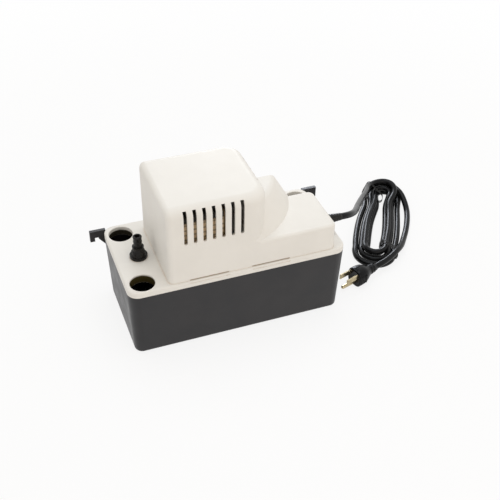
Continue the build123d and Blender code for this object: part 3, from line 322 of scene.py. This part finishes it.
def makeGrimeAndShade():
    # 1 deep in corners: dust and drips that gather there, and painted shade where the corners lie in shade
    group, given, out = newGroup(
        "cornerGrimeAndShade",
        [("Vector", "NodeSocketVector", None), ("Reach", "NodeSocketFloat", 0.006)],
        [("Mask", "NodeSocketFloat")],
    )
    nodes, links = group.nodes, group.links
    hollow = nodes.new("ShaderNodeAmbientOcclusion")
    hollow.samples = 4
    links.new(given.outputs["Reach"], hollow.inputs["Distance"])
    deep = addRange(nodes, links, hollow.outputs["AO"], *effects["grimeAndShadeDepth"], smooth=True)
    scale, low, high, least = effects["grimeAndShadePatches"]
    patches = addNoise(nodes, links, given.outputs["Vector"], scale, detail=4.0, rough=0.6)
    patchy = addRange(nodes, links, patches, low, high, least, 1.0)
    links.new(addMath(nodes, links, "MULTIPLY", deep, patchy, True), out.inputs["Mask"])
    return group

def makeLines():
    # even lines across one direction: core sheets, wire turns, brushed marks
    group, given, out = newGroup(
        "evenLines",
        [("Vector", "NodeSocketVector", None), ("Spacing", "NodeSocketFloat", 0.001),
         ("Wander", "NodeSocketFloat", 0.2)],
        [("Height", "NodeSocketFloat")],
    )
    nodes, links = group.nodes, group.links
    split = nodes.new("ShaderNodeSeparateXYZ")
    links.new(given.outputs["Vector"], split.inputs[0])
    turns = addMath(nodes, links, "DIVIDE", split.outputs["Z"], given.outputs["Spacing"])
    wander = addNoise(nodes, links, given.outputs["Vector"], effects["linesWanderScale"], detail=2.0)
    drift = addMath(nodes, links, "MULTIPLY", wander, given.outputs["Wander"])
    phase = addMath(nodes, links, "MULTIPLY", addMath(nodes, links, "ADD", turns, drift), 2 * math.pi)
    wave = addMath(nodes, links, "SINE", phase, None)
    links.new(addRange(nodes, links, wave, -1.0, 1.0), out.inputs["Height"])
    return group

groups = {
    "grain": makeGrain(),
    "mottle": makeMottle(),
    "rubAndHighlight": makeEdgeRubAndHighlight(),
    "grimeAndShade": makeGrimeAndShade(),
    "lines": makeLines(),
}
print("shader groups made")

# What a finish has unless it says otherwise
plainFinish = {"metal": 0.0, "gloss": 0.5, "soilAndShade": 0.55, "wearAndHighlight": 0.45, "boreShades": []}

# Finishes: base and tint colours, gloss, grain, and wear with a painted edge highlight of each material,
# named as the record's slots.
# scale and fine are noise scales per metre, and grain is the bump's depth in millimetres
finishes = {
    "tank_plastic": {
        "base": (0.0125, 0.012, 0.0135), "tint": (0.0175, 0.0158, 0.0168), "scale": 22,
        "rough": (0.34, 0.44), "gloss": 0.42, "fine": 1500, "grain": 0.05, "wave": 3.0,
        # rub pales the tank's rounded edges: wear, and a painted highlight
        "rubAndHighlight": (0.075, 0.075, 0.08), "grimeAndShade": (0.05, 0.047, 0.042),
    },
    "cover_plastic": {
        "base": (0.805, 0.785, 0.74), "tint": (0.83, 0.81, 0.765), "scale": 18,
        "rough": (0.4, 0.46), "gloss": 0.08, "fine": 1900, "grain": 0.035, "wave": 2.5,
        # the grime colour and its strength also paint the shade in the slits at the cover's foot
        "rubAndHighlight": (0.88, 0.86, 0.82), "grimeAndShade": (0.6, 0.45, 0.3), "soilAndShade": 0.75,
        "boreShades": [  # painted shade, olive and brown, down the bore walls of the left drain inlets
            {"center": (-0.1083, -0.0471), "radius": 0.0138, "line": 0.0895, "color": (0.060, 0.047, 0.016)},
            {"center": (-0.1095, 0.0445), "radius": 0.0138, "line": 0.0870, "color": (0.030, 0.026, 0.018)},
        ],
    },
    "black_plastic": {
        "base": (0.008, 0.0075, 0.007), "tint": (0.013, 0.012, 0.011), "scale": 60,
        "rough": (0.16, 0.26), "gloss": 0.2, "fine": 3000, "grain": 0.03, "wave": 1.0,
        "rubAndHighlight": (0.06, 0.058, 0.055), "grimeAndShade": (0.03, 0.028, 0.025),
    },
    "pump_plastic": {
        "base": (0.03, 0.032, 0.035), "tint": (0.042, 0.043, 0.045), "scale": 45,
        "rough": (0.38, 0.52), "fine": 2200, "grain": 0.06, "wave": 1.5,
        "rubAndHighlight": (0.09, 0.09, 0.09), "grimeAndShade": (0.06, 0.055, 0.05),
    },
    "float_foam": {
        "base": (0.55, 0.52, 0.44), "tint": (0.62, 0.59, 0.5), "scale": 70,
        "rough": (0.7, 0.85), "fine": 900, "grain": 0.35, "wave": 0.6,
        "rubAndHighlight": (0.66, 0.63, 0.55), "grimeAndShade": (0.33, 0.29, 0.22),
    },
    "steel": {
        "base": (0.5, 0.5, 0.5), "tint": (0.42, 0.42, 0.43), "scale": 120,
        "rough": (0.22, 0.38), "metal": 1.0, "fine": 1600, "grain": 0.03, "wave": 0.2,
        "rubAndHighlight": (0.68, 0.68, 0.68), "grimeAndShade": (0.2, 0.19, 0.18),
    },
    "lamination": {
        "base": (0.19, 0.19, 0.2), "tint": (0.12, 0.115, 0.11), "scale": 80,
        "rough": (0.38, 0.55), "metal": 0.9, "fine": 1200, "grain": 0.05, "wave": 0.2,
        "lines": (0.0005, 0.04, 0.6),
        "rubAndHighlight": (0.36, 0.36, 0.36), "grimeAndShade": (0.07, 0.06, 0.05),
    },
    "copper": {
        "base": (0.72, 0.34, 0.2), "tint": (0.52, 0.24, 0.15), "scale": 110,
        "rough": (0.24, 0.4), "metal": 1.0, "fine": 1500, "grain": 0.03, "wave": 0.2,
        "rubAndHighlight": (0.85, 0.48, 0.32), "grimeAndShade": (0.22, 0.11, 0.08),
    },
    "coil_tape": {
        "base": (0.86, 0.68, 0.45), "tint": (0.72, 0.54, 0.34), "scale": 55,
        "rough": (0.42, 0.6), "fine": 1800, "grain": 0.1, "wave": 0.5, "lines": (0.0062, 0.25, 0.8),
        "rubAndHighlight": (0.85, 0.68, 0.46), "grimeAndShade": (0.42, 0.28, 0.15),
        "shadeBand": (0.1590, 0.1630, (0.030, 0.024, 0.018)),  # painted shade on the coil's top: dark from between these heights up
    },
    "bobbin_plastic": {
        "base": (0.22, 0.14, 0.055), "tint": (0.17, 0.1, 0.04), "scale": 50,
        "rough": (0.35, 0.5), "fine": 2200, "grain": 0.04, "wave": 0.8,
        "rubAndHighlight": (0.34, 0.24, 0.12), "grimeAndShade": (0.09, 0.06, 0.03),
    },
    "cast_bridge": {
        "base": (0.46, 0.46, 0.47), "tint": (0.36, 0.36, 0.37), "scale": 90,
        "rough": (0.42, 0.6), "metal": 1.0, "fine": 700, "grain": 0.22, "wave": 0.5,
        "rubAndHighlight": (0.64, 0.64, 0.65), "grimeAndShade": (0.17, 0.16, 0.15),
    },
    "bearing_bronze": {
        "base": (0.5, 0.33, 0.17), "tint": (0.38, 0.25, 0.13), "scale": 140,
        "rough": (0.35, 0.5), "metal": 1.0, "fine": 2600, "grain": 0.12, "wave": 0.2,
        "rubAndHighlight": (0.66, 0.48, 0.28), "grimeAndShade": (0.14, 0.09, 0.05),
    },
    "fan_plastic": {
        "base": (0.045, 0.05, 0.055), "tint": (0.06, 0.064, 0.068), "scale": 60,
        "rough": (0.38, 0.5), "fine": 2200, "grain": 0.05, "wave": 0.8,
        "rubAndHighlight": (0.12, 0.12, 0.12), "grimeAndShade": (0.16, 0.15, 0.13),
    },
    "seal_rubber": {
        "base": (0.02, 0.02, 0.02), "tint": (0.03, 0.029, 0.028), "scale": 90,
        "rough": (0.62, 0.78), "fine": 2400, "grain": 0.1, "wave": 0.4,
        "rubAndHighlight": (0.05, 0.05, 0.05), "grimeAndShade": (0.08, 0.075, 0.065),
    },
    "switch_plastic": {
        "base": (0.028, 0.024, 0.022), "tint": (0.038, 0.033, 0.03), "scale": 80,
        "rough": (0.36, 0.48), "fine": 2600, "grain": 0.05, "wave": 0.5,
        "rubAndHighlight": (0.09, 0.08, 0.075), "grimeAndShade": (0.05, 0.045, 0.04),
    },
    "contact_brass": {
        "base": (0.52, 0.44, 0.28), "tint": (0.4, 0.33, 0.2), "scale": 150,
        "rough": (0.2, 0.34), "metal": 1.0, "fine": 1400, "grain": 0.03, "wave": 0.2,
        "rubAndHighlight": (0.9, 0.8, 0.58), "grimeAndShade": (0.22, 0.17, 0.1),
    },
    "cord_jacket": {
        "base": (0.0045, 0.0045, 0.005), "tint": (0.0075, 0.0075, 0.008), "scale": 60,
        "rough": (0.2, 0.28), "gloss": 0.15, "fine": 1500, "grain": 0.02, "wave": 2.0,
        "rubAndHighlight": (0.03, 0.03, 0.03), "wearAndHighlight": 0.2, "grimeAndShade": (0.03, 0.028, 0.026),
    },
}

boreShadeEdge = {
    "round": (0.0012, 0.0006),  # beyond the bore's radius
    "height": (0.0012, -0.0006),  # about the shade's line
    "raggedScale": 260.0,
    "raggedHeight": 0.0012,
}

def placeGroup(nodes, links, name, place, values):
    node = nodes.new("ShaderNodeGroup")
    node.node_tree = groups[name]
    links.new(place, node.inputs["Vector"])
    for title, value in values.items():
        node.inputs[title].default_value = value
    return node

def boreShadeMask(nodes, links, place, boreShade):
    # painted shade: 1 on the wall of a drain inlet, from its line down
    split = nodes.new("ShaderNodeSeparateXYZ")
    links.new(place, split.inputs[0])
    away = nodes.new("ShaderNodeVectorMath")
    away.operation = "DISTANCE"
    flat = nodes.new("ShaderNodeCombineXYZ")
    links.new(split.outputs["X"], flat.inputs["X"])
    links.new(split.outputs["Y"], flat.inputs["Y"])
    links.new(flat.outputs[0], away.inputs[0])
    away.inputs[1].default_value = (*boreShade["center"], 0)
    inside = addRange(nodes, links, away.outputs["Value"], *[boreShade["radius"] + d for d in boreShadeEdge["round"]])
    uneven = addNoise(nodes, links, place, boreShadeEdge["raggedScale"], detail=4.0)
    ragged = addMath(
        nodes, links, "ADD", split.outputs["Z"],
        addMath(nodes, links, "MULTIPLY", uneven, boreShadeEdge["raggedHeight"]))
    below = addRange(nodes, links, ragged, *[boreShade["line"] + d for d in boreShadeEdge["height"]], smooth=True)
    return addMath(nodes, links, "MULTIPLY", inside, below, True)

def makeFinish(name, given):
    f = {**plainFinish, **given}
    mat = bpy.data.materials.new(name)
    mat.use_nodes = True
    nodes, links = mat.node_tree.nodes, mat.node_tree.links
    shader = nodes["Principled BSDF"]
    shader.inputs["Metallic"].default_value = f["metal"]
    shader.inputs["IOR"].default_value = 1.5
    shader.inputs["Specular IOR Level"].default_value = f["gloss"]
    place = nodes.new("ShaderNodeTexCoord").outputs["Object"]
    mottle = placeGroup(nodes, links, "mottle", place, {
        "Base": (*f["base"], 1), "Tint": (*f["tint"], 1), "Scale": f["scale"],
        "Smooth Rough": f["rough"][0], "Dull Rough": f["rough"][1]})
    color = mottle.outputs["Color"]
    grain = placeGroup(nodes, links, "grain", place, {"Fine Scale": f["fine"], "Wave": f["wave"]})
    height = grain.outputs["Height"]
    if "lines" in f:
        spacing, wander, depth = f["lines"]
        lines = placeGroup(nodes, links, "lines", place, {"Spacing": spacing, "Wander": wander})
        faint = addMath(nodes, links, "MULTIPLY", height, effects["linesGrain"])
        height = addMath(nodes, links, "ADD", faint, lines.outputs["Height"])
        gap = addRange(nodes, links, lines.outputs["Height"], 0.0, effects["linesGap"], depth, 0.0)
        color = addMix(nodes, links, gap, color, (*[c * effects["linesShade"] for c in f["base"]], 1))
    # painted shade down the drain inlets' bores
    for boreShade in f["boreShades"]:
        color = addMix(nodes, links, boreShadeMask(nodes, links, place, boreShade), color, (*boreShade["color"], 1))
    # painted shade over the coil's top
    if "shadeBand" in f:
        low, high, dark = f["shadeBand"]
        split = nodes.new("ShaderNodeSeparateXYZ")
        links.new(place, split.inputs[0])
        shaded = addRange(nodes, links, split.outputs["Z"], low, high, smooth=True)
        color = addMix(nodes, links, shaded, color, (*dark, 1))
    # grime darkens the corners: dirt, and painted shade
    grimeAndShade = placeGroup(nodes, links, "grimeAndShade", place, {"Reach": effects["grimeAndShadeReach"]})
    soilAndShade = addMath(nodes, links, "MULTIPLY", grimeAndShade.outputs["Mask"], f["soilAndShade"])
    color = addMix(nodes, links, soilAndShade, color, (*f["grimeAndShade"], 1))
    # paler edges: wear, and a painted highlight
    rubAndHighlight = placeGroup(nodes, links, "rubAndHighlight", place, {"Width": effects["rubAndHighlightWidth"]})
    wornAndHighlit = addMath(nodes, links, "MULTIPLY", rubAndHighlight.outputs["Mask"], f["wearAndHighlight"])
    color = addMix(nodes, links, wornAndHighlit, color, (*f["rubAndHighlight"], 1))
    dulled = addMath(nodes, links, "MULTIPLY", soilAndShade, effects["soilDulls"])
    rough = addMath(nodes, links, "ADD", mottle.outputs["Roughness"], dulled, True)
    bump = nodes.new("ShaderNodeBump")
    bump.inputs["Strength"].default_value = 1.0
    bump.inputs["Distance"].default_value = f["grain"] * 0.001
    links.new(height, bump.inputs["Height"])
    links.new(bump.outputs[0], shader.inputs["Normal"])
    links.new(color, shader.inputs["Base Color"])
    links.new(rough, shader.inputs["Roughness"])
    return mat

materials = {name: makeFinish(name, f) for name, f in finishes.items()}

def dress(piece, name):
    piece.data.materials.clear()
    piece.data.materials.append(materials[name])

for part in frame["record"]["subparts"]:
    if part["node"] in frame["nodes"]:
        dress(frame["nodes"][part["node"]], part["material_slot"])
print("finishes laid on")

# Cord: the free lead from the gland down to the hank, then the hank's turns, then the plug
cord = {
    "radius": 0.0039,
    "length": 1.87,
    "exit": (0.119, -0.026, 0.106),
    "lead": [
        (0.119, -0.026, 0.106),
        (0.135, -0.026, 0.1055),
        (0.1525, -0.0182, 0.0993),
        (0.170, 0.0028, 0.0850),
        (0.192, 0.037, 0.0665),
        (0.2195, 0.0755, 0.0465),
        (0.2430, 0.1060, 0.031),
    ],
}

# The hank in millimetres: along its length u, across it v, and up from the floor z
hank = {
    "center": (0.2405, 0.0625),
    "angle": 59.1,
    "pitch": 8.1,
    "straight": 7.0,  # how far each limb runs straight before a bend
    "pinch": 0.98,  # and how much the bend has drawn it in by then
    # along, then where the innermost strand of the left and of the right limb lies
    "stations": [(44, -4.6, 6.8), (24, -7.7, 8.2), (2, -10.2, 9.4), (-20, -10.7, 9.8), (-40, -10.4, 8.6)],
    # the lead comes over the far end and lies down on the right limb
    "start": [
        (57, -20.5, 24), (69.5, -17.5, 21), (79, -9.5, 20.4), (83.5, 1, 20.4),
        (81, 11, 20), (72.5, 16.8, 18), (60, 16.7, 15.6),
    ],
    # each turn: its place on the right limb, its heights there, and its near bend as
    # centre, reach, both ends and height
    "turns": [
        {"rank": 0.5, "down": (13.4, 11.2, 10.9, 10.9, 10.9), "near": (-54, 14.5, 12.6, -14.4, 11.6)},
        {"rank": 0.0, "down": (6.2, 4.3, 4.1, 4.1, 4.1), "near": (-52, 10.0, 8.6, -10.6, 4.1)},
        {"rank": 1.0, "down": (4.1, 4.1, 4.1, 4.1, 4.1), "near": (-56, 17.6, 16.8, -18.2, 4.1)},
        {"rank": 2.0, "down": (4.1, 4.1, 4.1, 4.1, 4.1), "near": (-60, 25.8, 24.5, -25.8, 4.1)},
    ],
    # each way back: its place on the left limb, its height there, and its far bend as
    # centre, reach, both ends and heights
    "returns": [
        {
            "rank": 0.5, "height": 10.9,
            "far": (68, 10.5, -9.5, 10.5, (11.4, 11.9, 12.1, 12.1, 12.1, 12.0, 11.0)),
        },
        {"rank": 0.0, "height": 4.1, "far": (70, 11.4, -8.0, 16.2, (4.1,) * 7)},
        {"rank": 1.0, "height": 4.1, "far": (70, 19.4, -15.8, 24.0, (4.1,) * 7)},
        {"rank": 2.0, "height": 4.1, "far": None},
    ],
    # the last turn swings wide of the others and ends in the plug
    "last": [
        (66, -24.5, 4.5), (78.8, -21.3, 8.0), (87.6, -11.2, 11.0), (90.4, 0.5, 12.3), (87.4, 10.8, 12.5),
        (79.6, 19.4, 12.5), (69.4, 26.4, 12.1), (58, 31.8, 8.6), (42, 36.6, 4.7), (22, 38.0, 4.1),
        (0, 37.6, 4.1), (-22, 35.2, 4.1),
        (-42, 32.9, 7.4), (-60, 27.4, 12.0), (-76, 19.6, 12.3), (-87, 12.4, 12.8), (-93, 6.6, 12.1),
        (-96.9, 2.9, 11.7), (-100.2, -0.1, 11.7),
    ],
}

def hankPoint(u, v, z):
    a = math.radians(hank["angle"])
    x = hank["center"][0] + (u * math.cos(a) + v * math.sin(a)) * 0.001
    y = hank["center"][1] + (u * math.sin(a) - v * math.cos(a)) * 0.001
    return (x, y, z * 0.001)

def bendPoints(center, reach, start, end, heights, outward):
    # half an oval from start across to end, outward +1 at the far end and -1 at the near end
    middle, half = (start + end) / 2, (start - end) / 2
    approach = center - outward * hank["straight"]
    points = [(approach, start * hank["pinch"], heights[0])]
    for k, z in enumerate(heights):
        t = math.pi * k / (len(heights) - 1)
        points.append((center + outward * reach * math.sin(t), middle + half * math.cos(t), z))
    points.append((approach, end * hank["pinch"], heights[-1]))
    return points

def hankPoints():
    points = list(hank["start"])
    for turn, back in zip(hank["turns"], hank["returns"]):
        for (u, left, right), z in zip(hank["stations"], turn["down"]):
            points.append((u, right + turn["rank"] * hank["pitch"], z))
        center, reach, start, end, z = turn["near"]
        low = turn["down"][-1]
        points += bendPoints(center, reach, start, end, [low, z, z, z, z, z, low], -1)
        for u, left, right in reversed(hank["stations"]):
            points.append((u, left - back["rank"] * hank["pitch"], back["height"]))
        if back["far"]:
            center, reach, start, end, heights = back["far"]
            points += bendPoints(center, reach, start, end, heights, 1)
    points += hank["last"]
    return [hankPoint(*p) for p in points]

def makeCord():
    points = cord["lead"] + hankPoints()
    data = bpy.data.curves.new("supplyCord", "CURVE")
    data.dimensions = "3D"
    data.bevel_depth = cord["radius"]
    data.bevel_resolution = 6
    data.resolution_u = 8
    data.use_fill_caps = True
    data.materials.append(materials["cord_jacket"])
    spline = data.splines.new("NURBS")
    spline.points.add(len(points) - 1)
    for point, place in zip(spline.points, points):
        point.co = (*place, 1.0)
    spline.order_u = 3
    spline.use_endpoint_u = True
    piece = bpy.data.objects.new("supplyCord", data)
    bpy.context.scene.collection.objects.link(piece)
    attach(piece, "pump")
    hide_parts("cord_lead", "cord_coil")
    return piece

supplyCord = makeCord()
print("cord laid")

# Small pieces made with mesh operators
def addPiece(bm, name, body, slotName):
    bmesh.ops.remove_doubles(bm, verts=bm.verts, dist=0.000001)
    bmesh.ops.recalc_face_normals(bm, faces=bm.faces)
    mesh = bpy.data.meshes.new(name)
    bm.to_mesh(mesh)
    bm.free()
    for face in mesh.polygons:
        face.use_smooth = True
    piece = bpy.data.objects.new(name, mesh)
    bpy.context.scene.collection.objects.link(piece)
    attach(piece, body)
    piece.data.materials.append(materials[slotName])
    return piece

def turnedProfile(profile, axisMatrix, segments=40):
    # profile rows are (along, radius); the first and last lie on the axis or close on themselves
    bm = bmesh.new()
    rows = [bm.verts.new((radius, 0, along)) for along, radius in profile]
    edges = [bm.edges.new(pair) for pair in zip(rows, rows[1:])]
    bmesh.ops.spin(
        bm, geom=rows + edges, cent=(0, 0, 0), axis=(0, 0, 1), dvec=(0, 0, 0),
        angle=2 * math.pi, steps=segments, use_merge=True, use_duplicate=False)
    bmesh.ops.transform(bm, matrix=axisMatrix, verts=bm.verts)
    return bm

def roundEdges(bm, radius):
    bmesh.ops.bevel(
        bm, geom=list(bm.edges), offset=radius,
        affect="EDGES", segments=3, profile=0.5, material=-1)

def alongAxis(start, direction):
    turn = Vector(direction).to_track_quat("Z", "Y").to_matrix().to_4x4()
    return Matrix.Translation(Vector(start)) @ turn

# Strain relief: a flange against the wall and a ribbed boot that tapers onto the cord
relief = {
    "seat": (0.1128, -0.026, 0.106),
    "direction": (1, 0, -0.012),
    "play": 0.00005,
    "neckRadius": 0.0063,
    "neckLength": 0.0052,
    "neckChamfer": 0.0005,
    "flangeRadius": 0.0095,
    "flange": [(0, -0.0002), (0.0003, 0), (0.0016, 0), (0.0021, -0.0007)],  # along, and change of radius
    "bootStart": (0.0022, 0.0006),
    "bootRadius": 0.0058,
    "tipRadius": 0.0045,
    "bootLength": 0.0205,
    "ribs": 6,
    "ribDepth": 0.0004,
    "ribProfile": [(0.12, 0), (0.55, 0.25), (0.64, 0.8), (0.90, 1)],  # shares of the pitch and of the depth
}

def makeRelief(r):
    bore = cord["radius"] + r["play"]
    bottom = -r["neckLength"]
    rows = [
        (bottom, bore), (bottom, r["neckRadius"] - r["neckChamfer"]),
        (bottom + r["neckChamfer"], r["neckRadius"]), (0, r["neckRadius"]),
    ]
    rows += [(along, r["flangeRadius"] + change) for along, change in r["flange"]]
    foot, flare = r["bootStart"]
    rows.append((foot, r["bootRadius"] + flare))
    pitch = r["bootLength"] / r["ribs"]
    for k in range(r["ribs"]):
        wide = r["bootRadius"] + (r["tipRadius"] - r["bootRadius"]) * k / (r["ribs"] - 1)
        rows += [(foot + pitch * (k + part), wide - r["ribDepth"] * depth) for part, depth in r["ribProfile"]]
    tip = foot + r["bootLength"]
    rows += [(tip, r["tipRadius"] - r["ribDepth"]), (tip, bore), (bottom, bore)]
    bm = turnedProfile(rows, alongAxis(r["seat"], r["direction"]))
    piece = addPiece(bm, "reliefBoot", "pump", "black_plastic")
    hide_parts("strain_relief")

makeRelief(relief)

# Outlet beads: the moulded rings that hold the hose on the stem, and the lugs that turn the fitting
outlet = {
    "center": (-0.1005, -0.0025),
    "beads": [(0.1188, 0.00476, 0.0006), (0.1128, 0.00476, 0.0005), (0.0992, 0.0071, 0.0006)],
    "beadSink": 0.0002,
    "beadStretch": 1.3,
    "beadSteps": 10,
    "lugCount": 4,
    "lugTurn": 45,
    "lugSize": (0.0036, 0.0022, 0.0034),
    "lugReach": 0.0071,
    "lugHeight": 0.0961,
    "lugRound": 0.0005,
}

def makeOutletBeads(o):
    bm = bmesh.new()
    steps = [2 * math.pi * k / o["beadSteps"] for k in range(o["beadSteps"])]
    for height, radius, rise in o["beads"]:
        middle = radius - o["beadSink"]
        rows = [(height + rise * math.sin(t) * o["beadStretch"], middle + rise * math.cos(t)) for t in steps]
        rows.append(rows[0])
        ring = turnedProfile(rows, Matrix.Translation((*o["center"], 0)))
        kept = bpy.data.meshes.new("bead")
        ring.to_mesh(kept)
        ring.free()
        bm.from_mesh(kept)
        bpy.data.meshes.remove(kept)
    lugs = bmesh.new()
    for k in range(o["lugCount"]):
        turn = Matrix.Rotation(math.radians(o["lugTurn"] + 360 / o["lugCount"] * k), 4, "Z")
        middle = Matrix.Translation((*o["center"], o["lugHeight"]))
        at = middle @ turn @ Matrix.Translation((o["lugReach"], 0, 0))
        bmesh.ops.create_cube(lugs, size=1.0, matrix=at @ Matrix.Diagonal((*o["lugSize"], 1)))
    roundEdges(lugs, o["lugRound"])
    addPiece(bm, "outletBeads", "pump", "black_plastic")
    addPiece(lugs, "outletLugs", "pump", "black_plastic")

makeOutletBeads(outlet)

# Plug, in millimetres back from its face: a rounded grip with finger ridges, a sloping back
# and a ringed neck
plug = {
    "face": (0.1578, -0.0329, 0.0117),
    "turn": 17.0,
    # back from the face, half the width, half the height and how square the section is
    "sections": [
        (0.0, 9.6, 10.1, 3.4), (0.5, 10.4, 10.9, 3.4), (1.4, 10.9, 11.4, 3.3), (6.0, 11.0, 11.5, 3.2),
        (11.0, 10.9, 11.4, 3.0), (14.5, 10.4, 10.8, 2.8), (17.5, 9.4, 9.6, 2.5), (20.5, 7.9, 8.0, 2.3),
        (23.0, 6.8, 6.8, 2.1), (24.0, 6.6, 6.6, 2.0), (24.6, 5.9, 5.9, 2.0), (26.0, 5.9, 5.9, 2.0),
        (26.5, 6.4, 6.4, 2.0), (28.2, 6.2, 6.2, 2.0), (28.8, 5.5, 5.5, 2.0), (30.2, 5.5, 5.5, 2.0),
        (30.7, 5.9, 5.9, 2.0), (32.4, 5.7, 5.7, 2.0), (33.0, 5.1, 5.1, 2.0), (36.0, 4.9, 4.9, 2.0),
        (36.8, 4.5, 4.5, 2.0),
    ],
    "faceRim": 1.6,
    "faceSink": 0.5,
    "ridges": 4,
    "ridgePitch": 2.6,
    "ridgeStart": 4.0,
    "ridgeSize": (1.1, 1.3, 12.0),
    "ridgeSide": 10.75,
    "ridgeRound": 0.4,
}

def makePlug(p):
    turn = Matrix.Rotation(math.radians(p["turn"]), 4, "Z")
    place = Matrix.Translation(Vector(p["face"])) @ turn @ Matrix.Scale(0.001, 4)
    bm = bmesh.new()
    loop = bmesh.ops.create_circle(bm, cap_ends=False, segments=48, radius=1.0)["verts"]
    angles = [math.atan2(v.co.y, v.co.x) for v in loop]
    edges = list(bm.edges)
    for index, (back, width, height, square) in enumerate(p["sections"]):
        if index:
            made = bmesh.ops.extrude_edge_only(bm, edges=edges)["geom"]
            newLoop = [g for g in made if isinstance(g, bmesh.types.BMVert)]
            newEdges = [g for g in made if isinstance(g, bmesh.types.BMEdge)]
            edges = [e for e in newEdges if all(v in newLoop for v in e.verts)]
            loop = newLoop
        else:
            first = list(edges)
        for v, t in zip(loop, angles):
            c, n = math.cos(t), math.sin(t)
            grow = (abs(c) ** square + abs(n) ** square) ** (-1 / square)
            v.co = Vector((back, c * grow * width, n * grow * height))
    inset = bmesh.ops.edgeloop_fill(bm, edges=first)["faces"]
    bmesh.ops.inset_region(
        bm, faces=inset, thickness=p["faceRim"], depth=-p["faceSink"], use_even_offset=True)
    bmesh.ops.edgeloop_fill(bm, edges=edges)
    bmesh.ops.transform(bm, matrix=place, verts=bm.verts)
    body = addPiece(bm, "plugGrip", "pump", "cord_jacket")
    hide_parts("plug_body")
    ridges = bmesh.new()
    for side in (-1, 1):
        for k in range(p["ridges"]):
            at = Matrix.Translation((p["ridgeStart"] + k * p["ridgePitch"], side * p["ridgeSide"], 0))
            bmesh.ops.create_cube(ridges, size=1.0, matrix=at @ Matrix.Diagonal((*p["ridgeSize"], 1)))
    roundEdges(ridges, p["ridgeRound"])
    bmesh.ops.transform(ridges, matrix=place, verts=ridges.verts)
    grip = addPiece(ridges, "plugRidges", "pump", "cord_jacket")
    return body, grip

plugPieces = makePlug(plug)
print("strain relief and plug made")

# Ties, in the hank's millimetres: thin straps drawn round its left limb with the lead,
# and round its right limb
ties = {
    "width": 0.0024,
    "thickness": 0.0008,
    "far": [
        (66, -28.0, 4.5), (66.3, -26.6, 10.5), (66.8, -23.4, 18.5), (67, -21.6, 24.0), (66.4, -17.6, 26.0),
        (64.5, -13.2, 22.0), (61.5, -7.0, 16.6), (58.5, -1.2, 15.4), (56.2, 2.0, 11.5), (55.4, 1.6, 3.0),
        (57, -3, 0.5), (61.5, -14, 0.5), (65.4, -26.2, 0.7),
    ],
    "near": [
        (-46, 4.3, 3.5), (-47.5, 5.4, 10.2), (-50.5, 9.6, 14.9), (-55, 14.6, 15.4), (-60, 21.0, 15.2),
        (-64.0, 27.2, 14.2), (-66, 29.9, 9.8), (-65.8, 28.6, 3.2), (-64.2, 26.4, 0.5), (-57, 17.5, 0.5),
        (-50, 8.0, 0.5), (-46.6, 5.0, 0.7),
    ],
    "windings": {"far": (0.0, 2.9), "near": (0.0, 2.8, 5.6)},
}

def makeStrap(name, path, shift):
    bm = bmesh.new()
    loop = bmesh.ops.create_circle(bm, cap_ends=False, segments=len(path), radius=1.0)["verts"]
    alongHank = (Vector(hankPoint(1, 0, 0)) - Vector(hankPoint(0, 0, 0))).normalized()
    for v, (u, across, up) in zip(loop, path):
        v.co = Vector(hankPoint(u + shift, across, up))
    made = bmesh.ops.extrude_edge_only(bm, edges=list(bm.edges))["geom"]
    edge = [g for g in made if isinstance(g, bmesh.types.BMVert)]
    bmesh.ops.translate(bm, vec=alongHank * ties["width"], verts=edge)
    piece = addPiece(bm, name, "pump", "black_plastic")
    solid = piece.modifiers.new("strap", "SOLIDIFY")
    solid.thickness = ties["thickness"]
    solid.offset = 0
    rounding = piece.modifiers.new("round", "SUBSURF")
    rounding.levels = rounding.render_levels = 2

for tie, shifts in ties["windings"].items():
    for k, shift in enumerate(shifts):
        makeStrap(f"{tie}Tie{k + 1}", ties[tie], shift)
print("ties drawn")
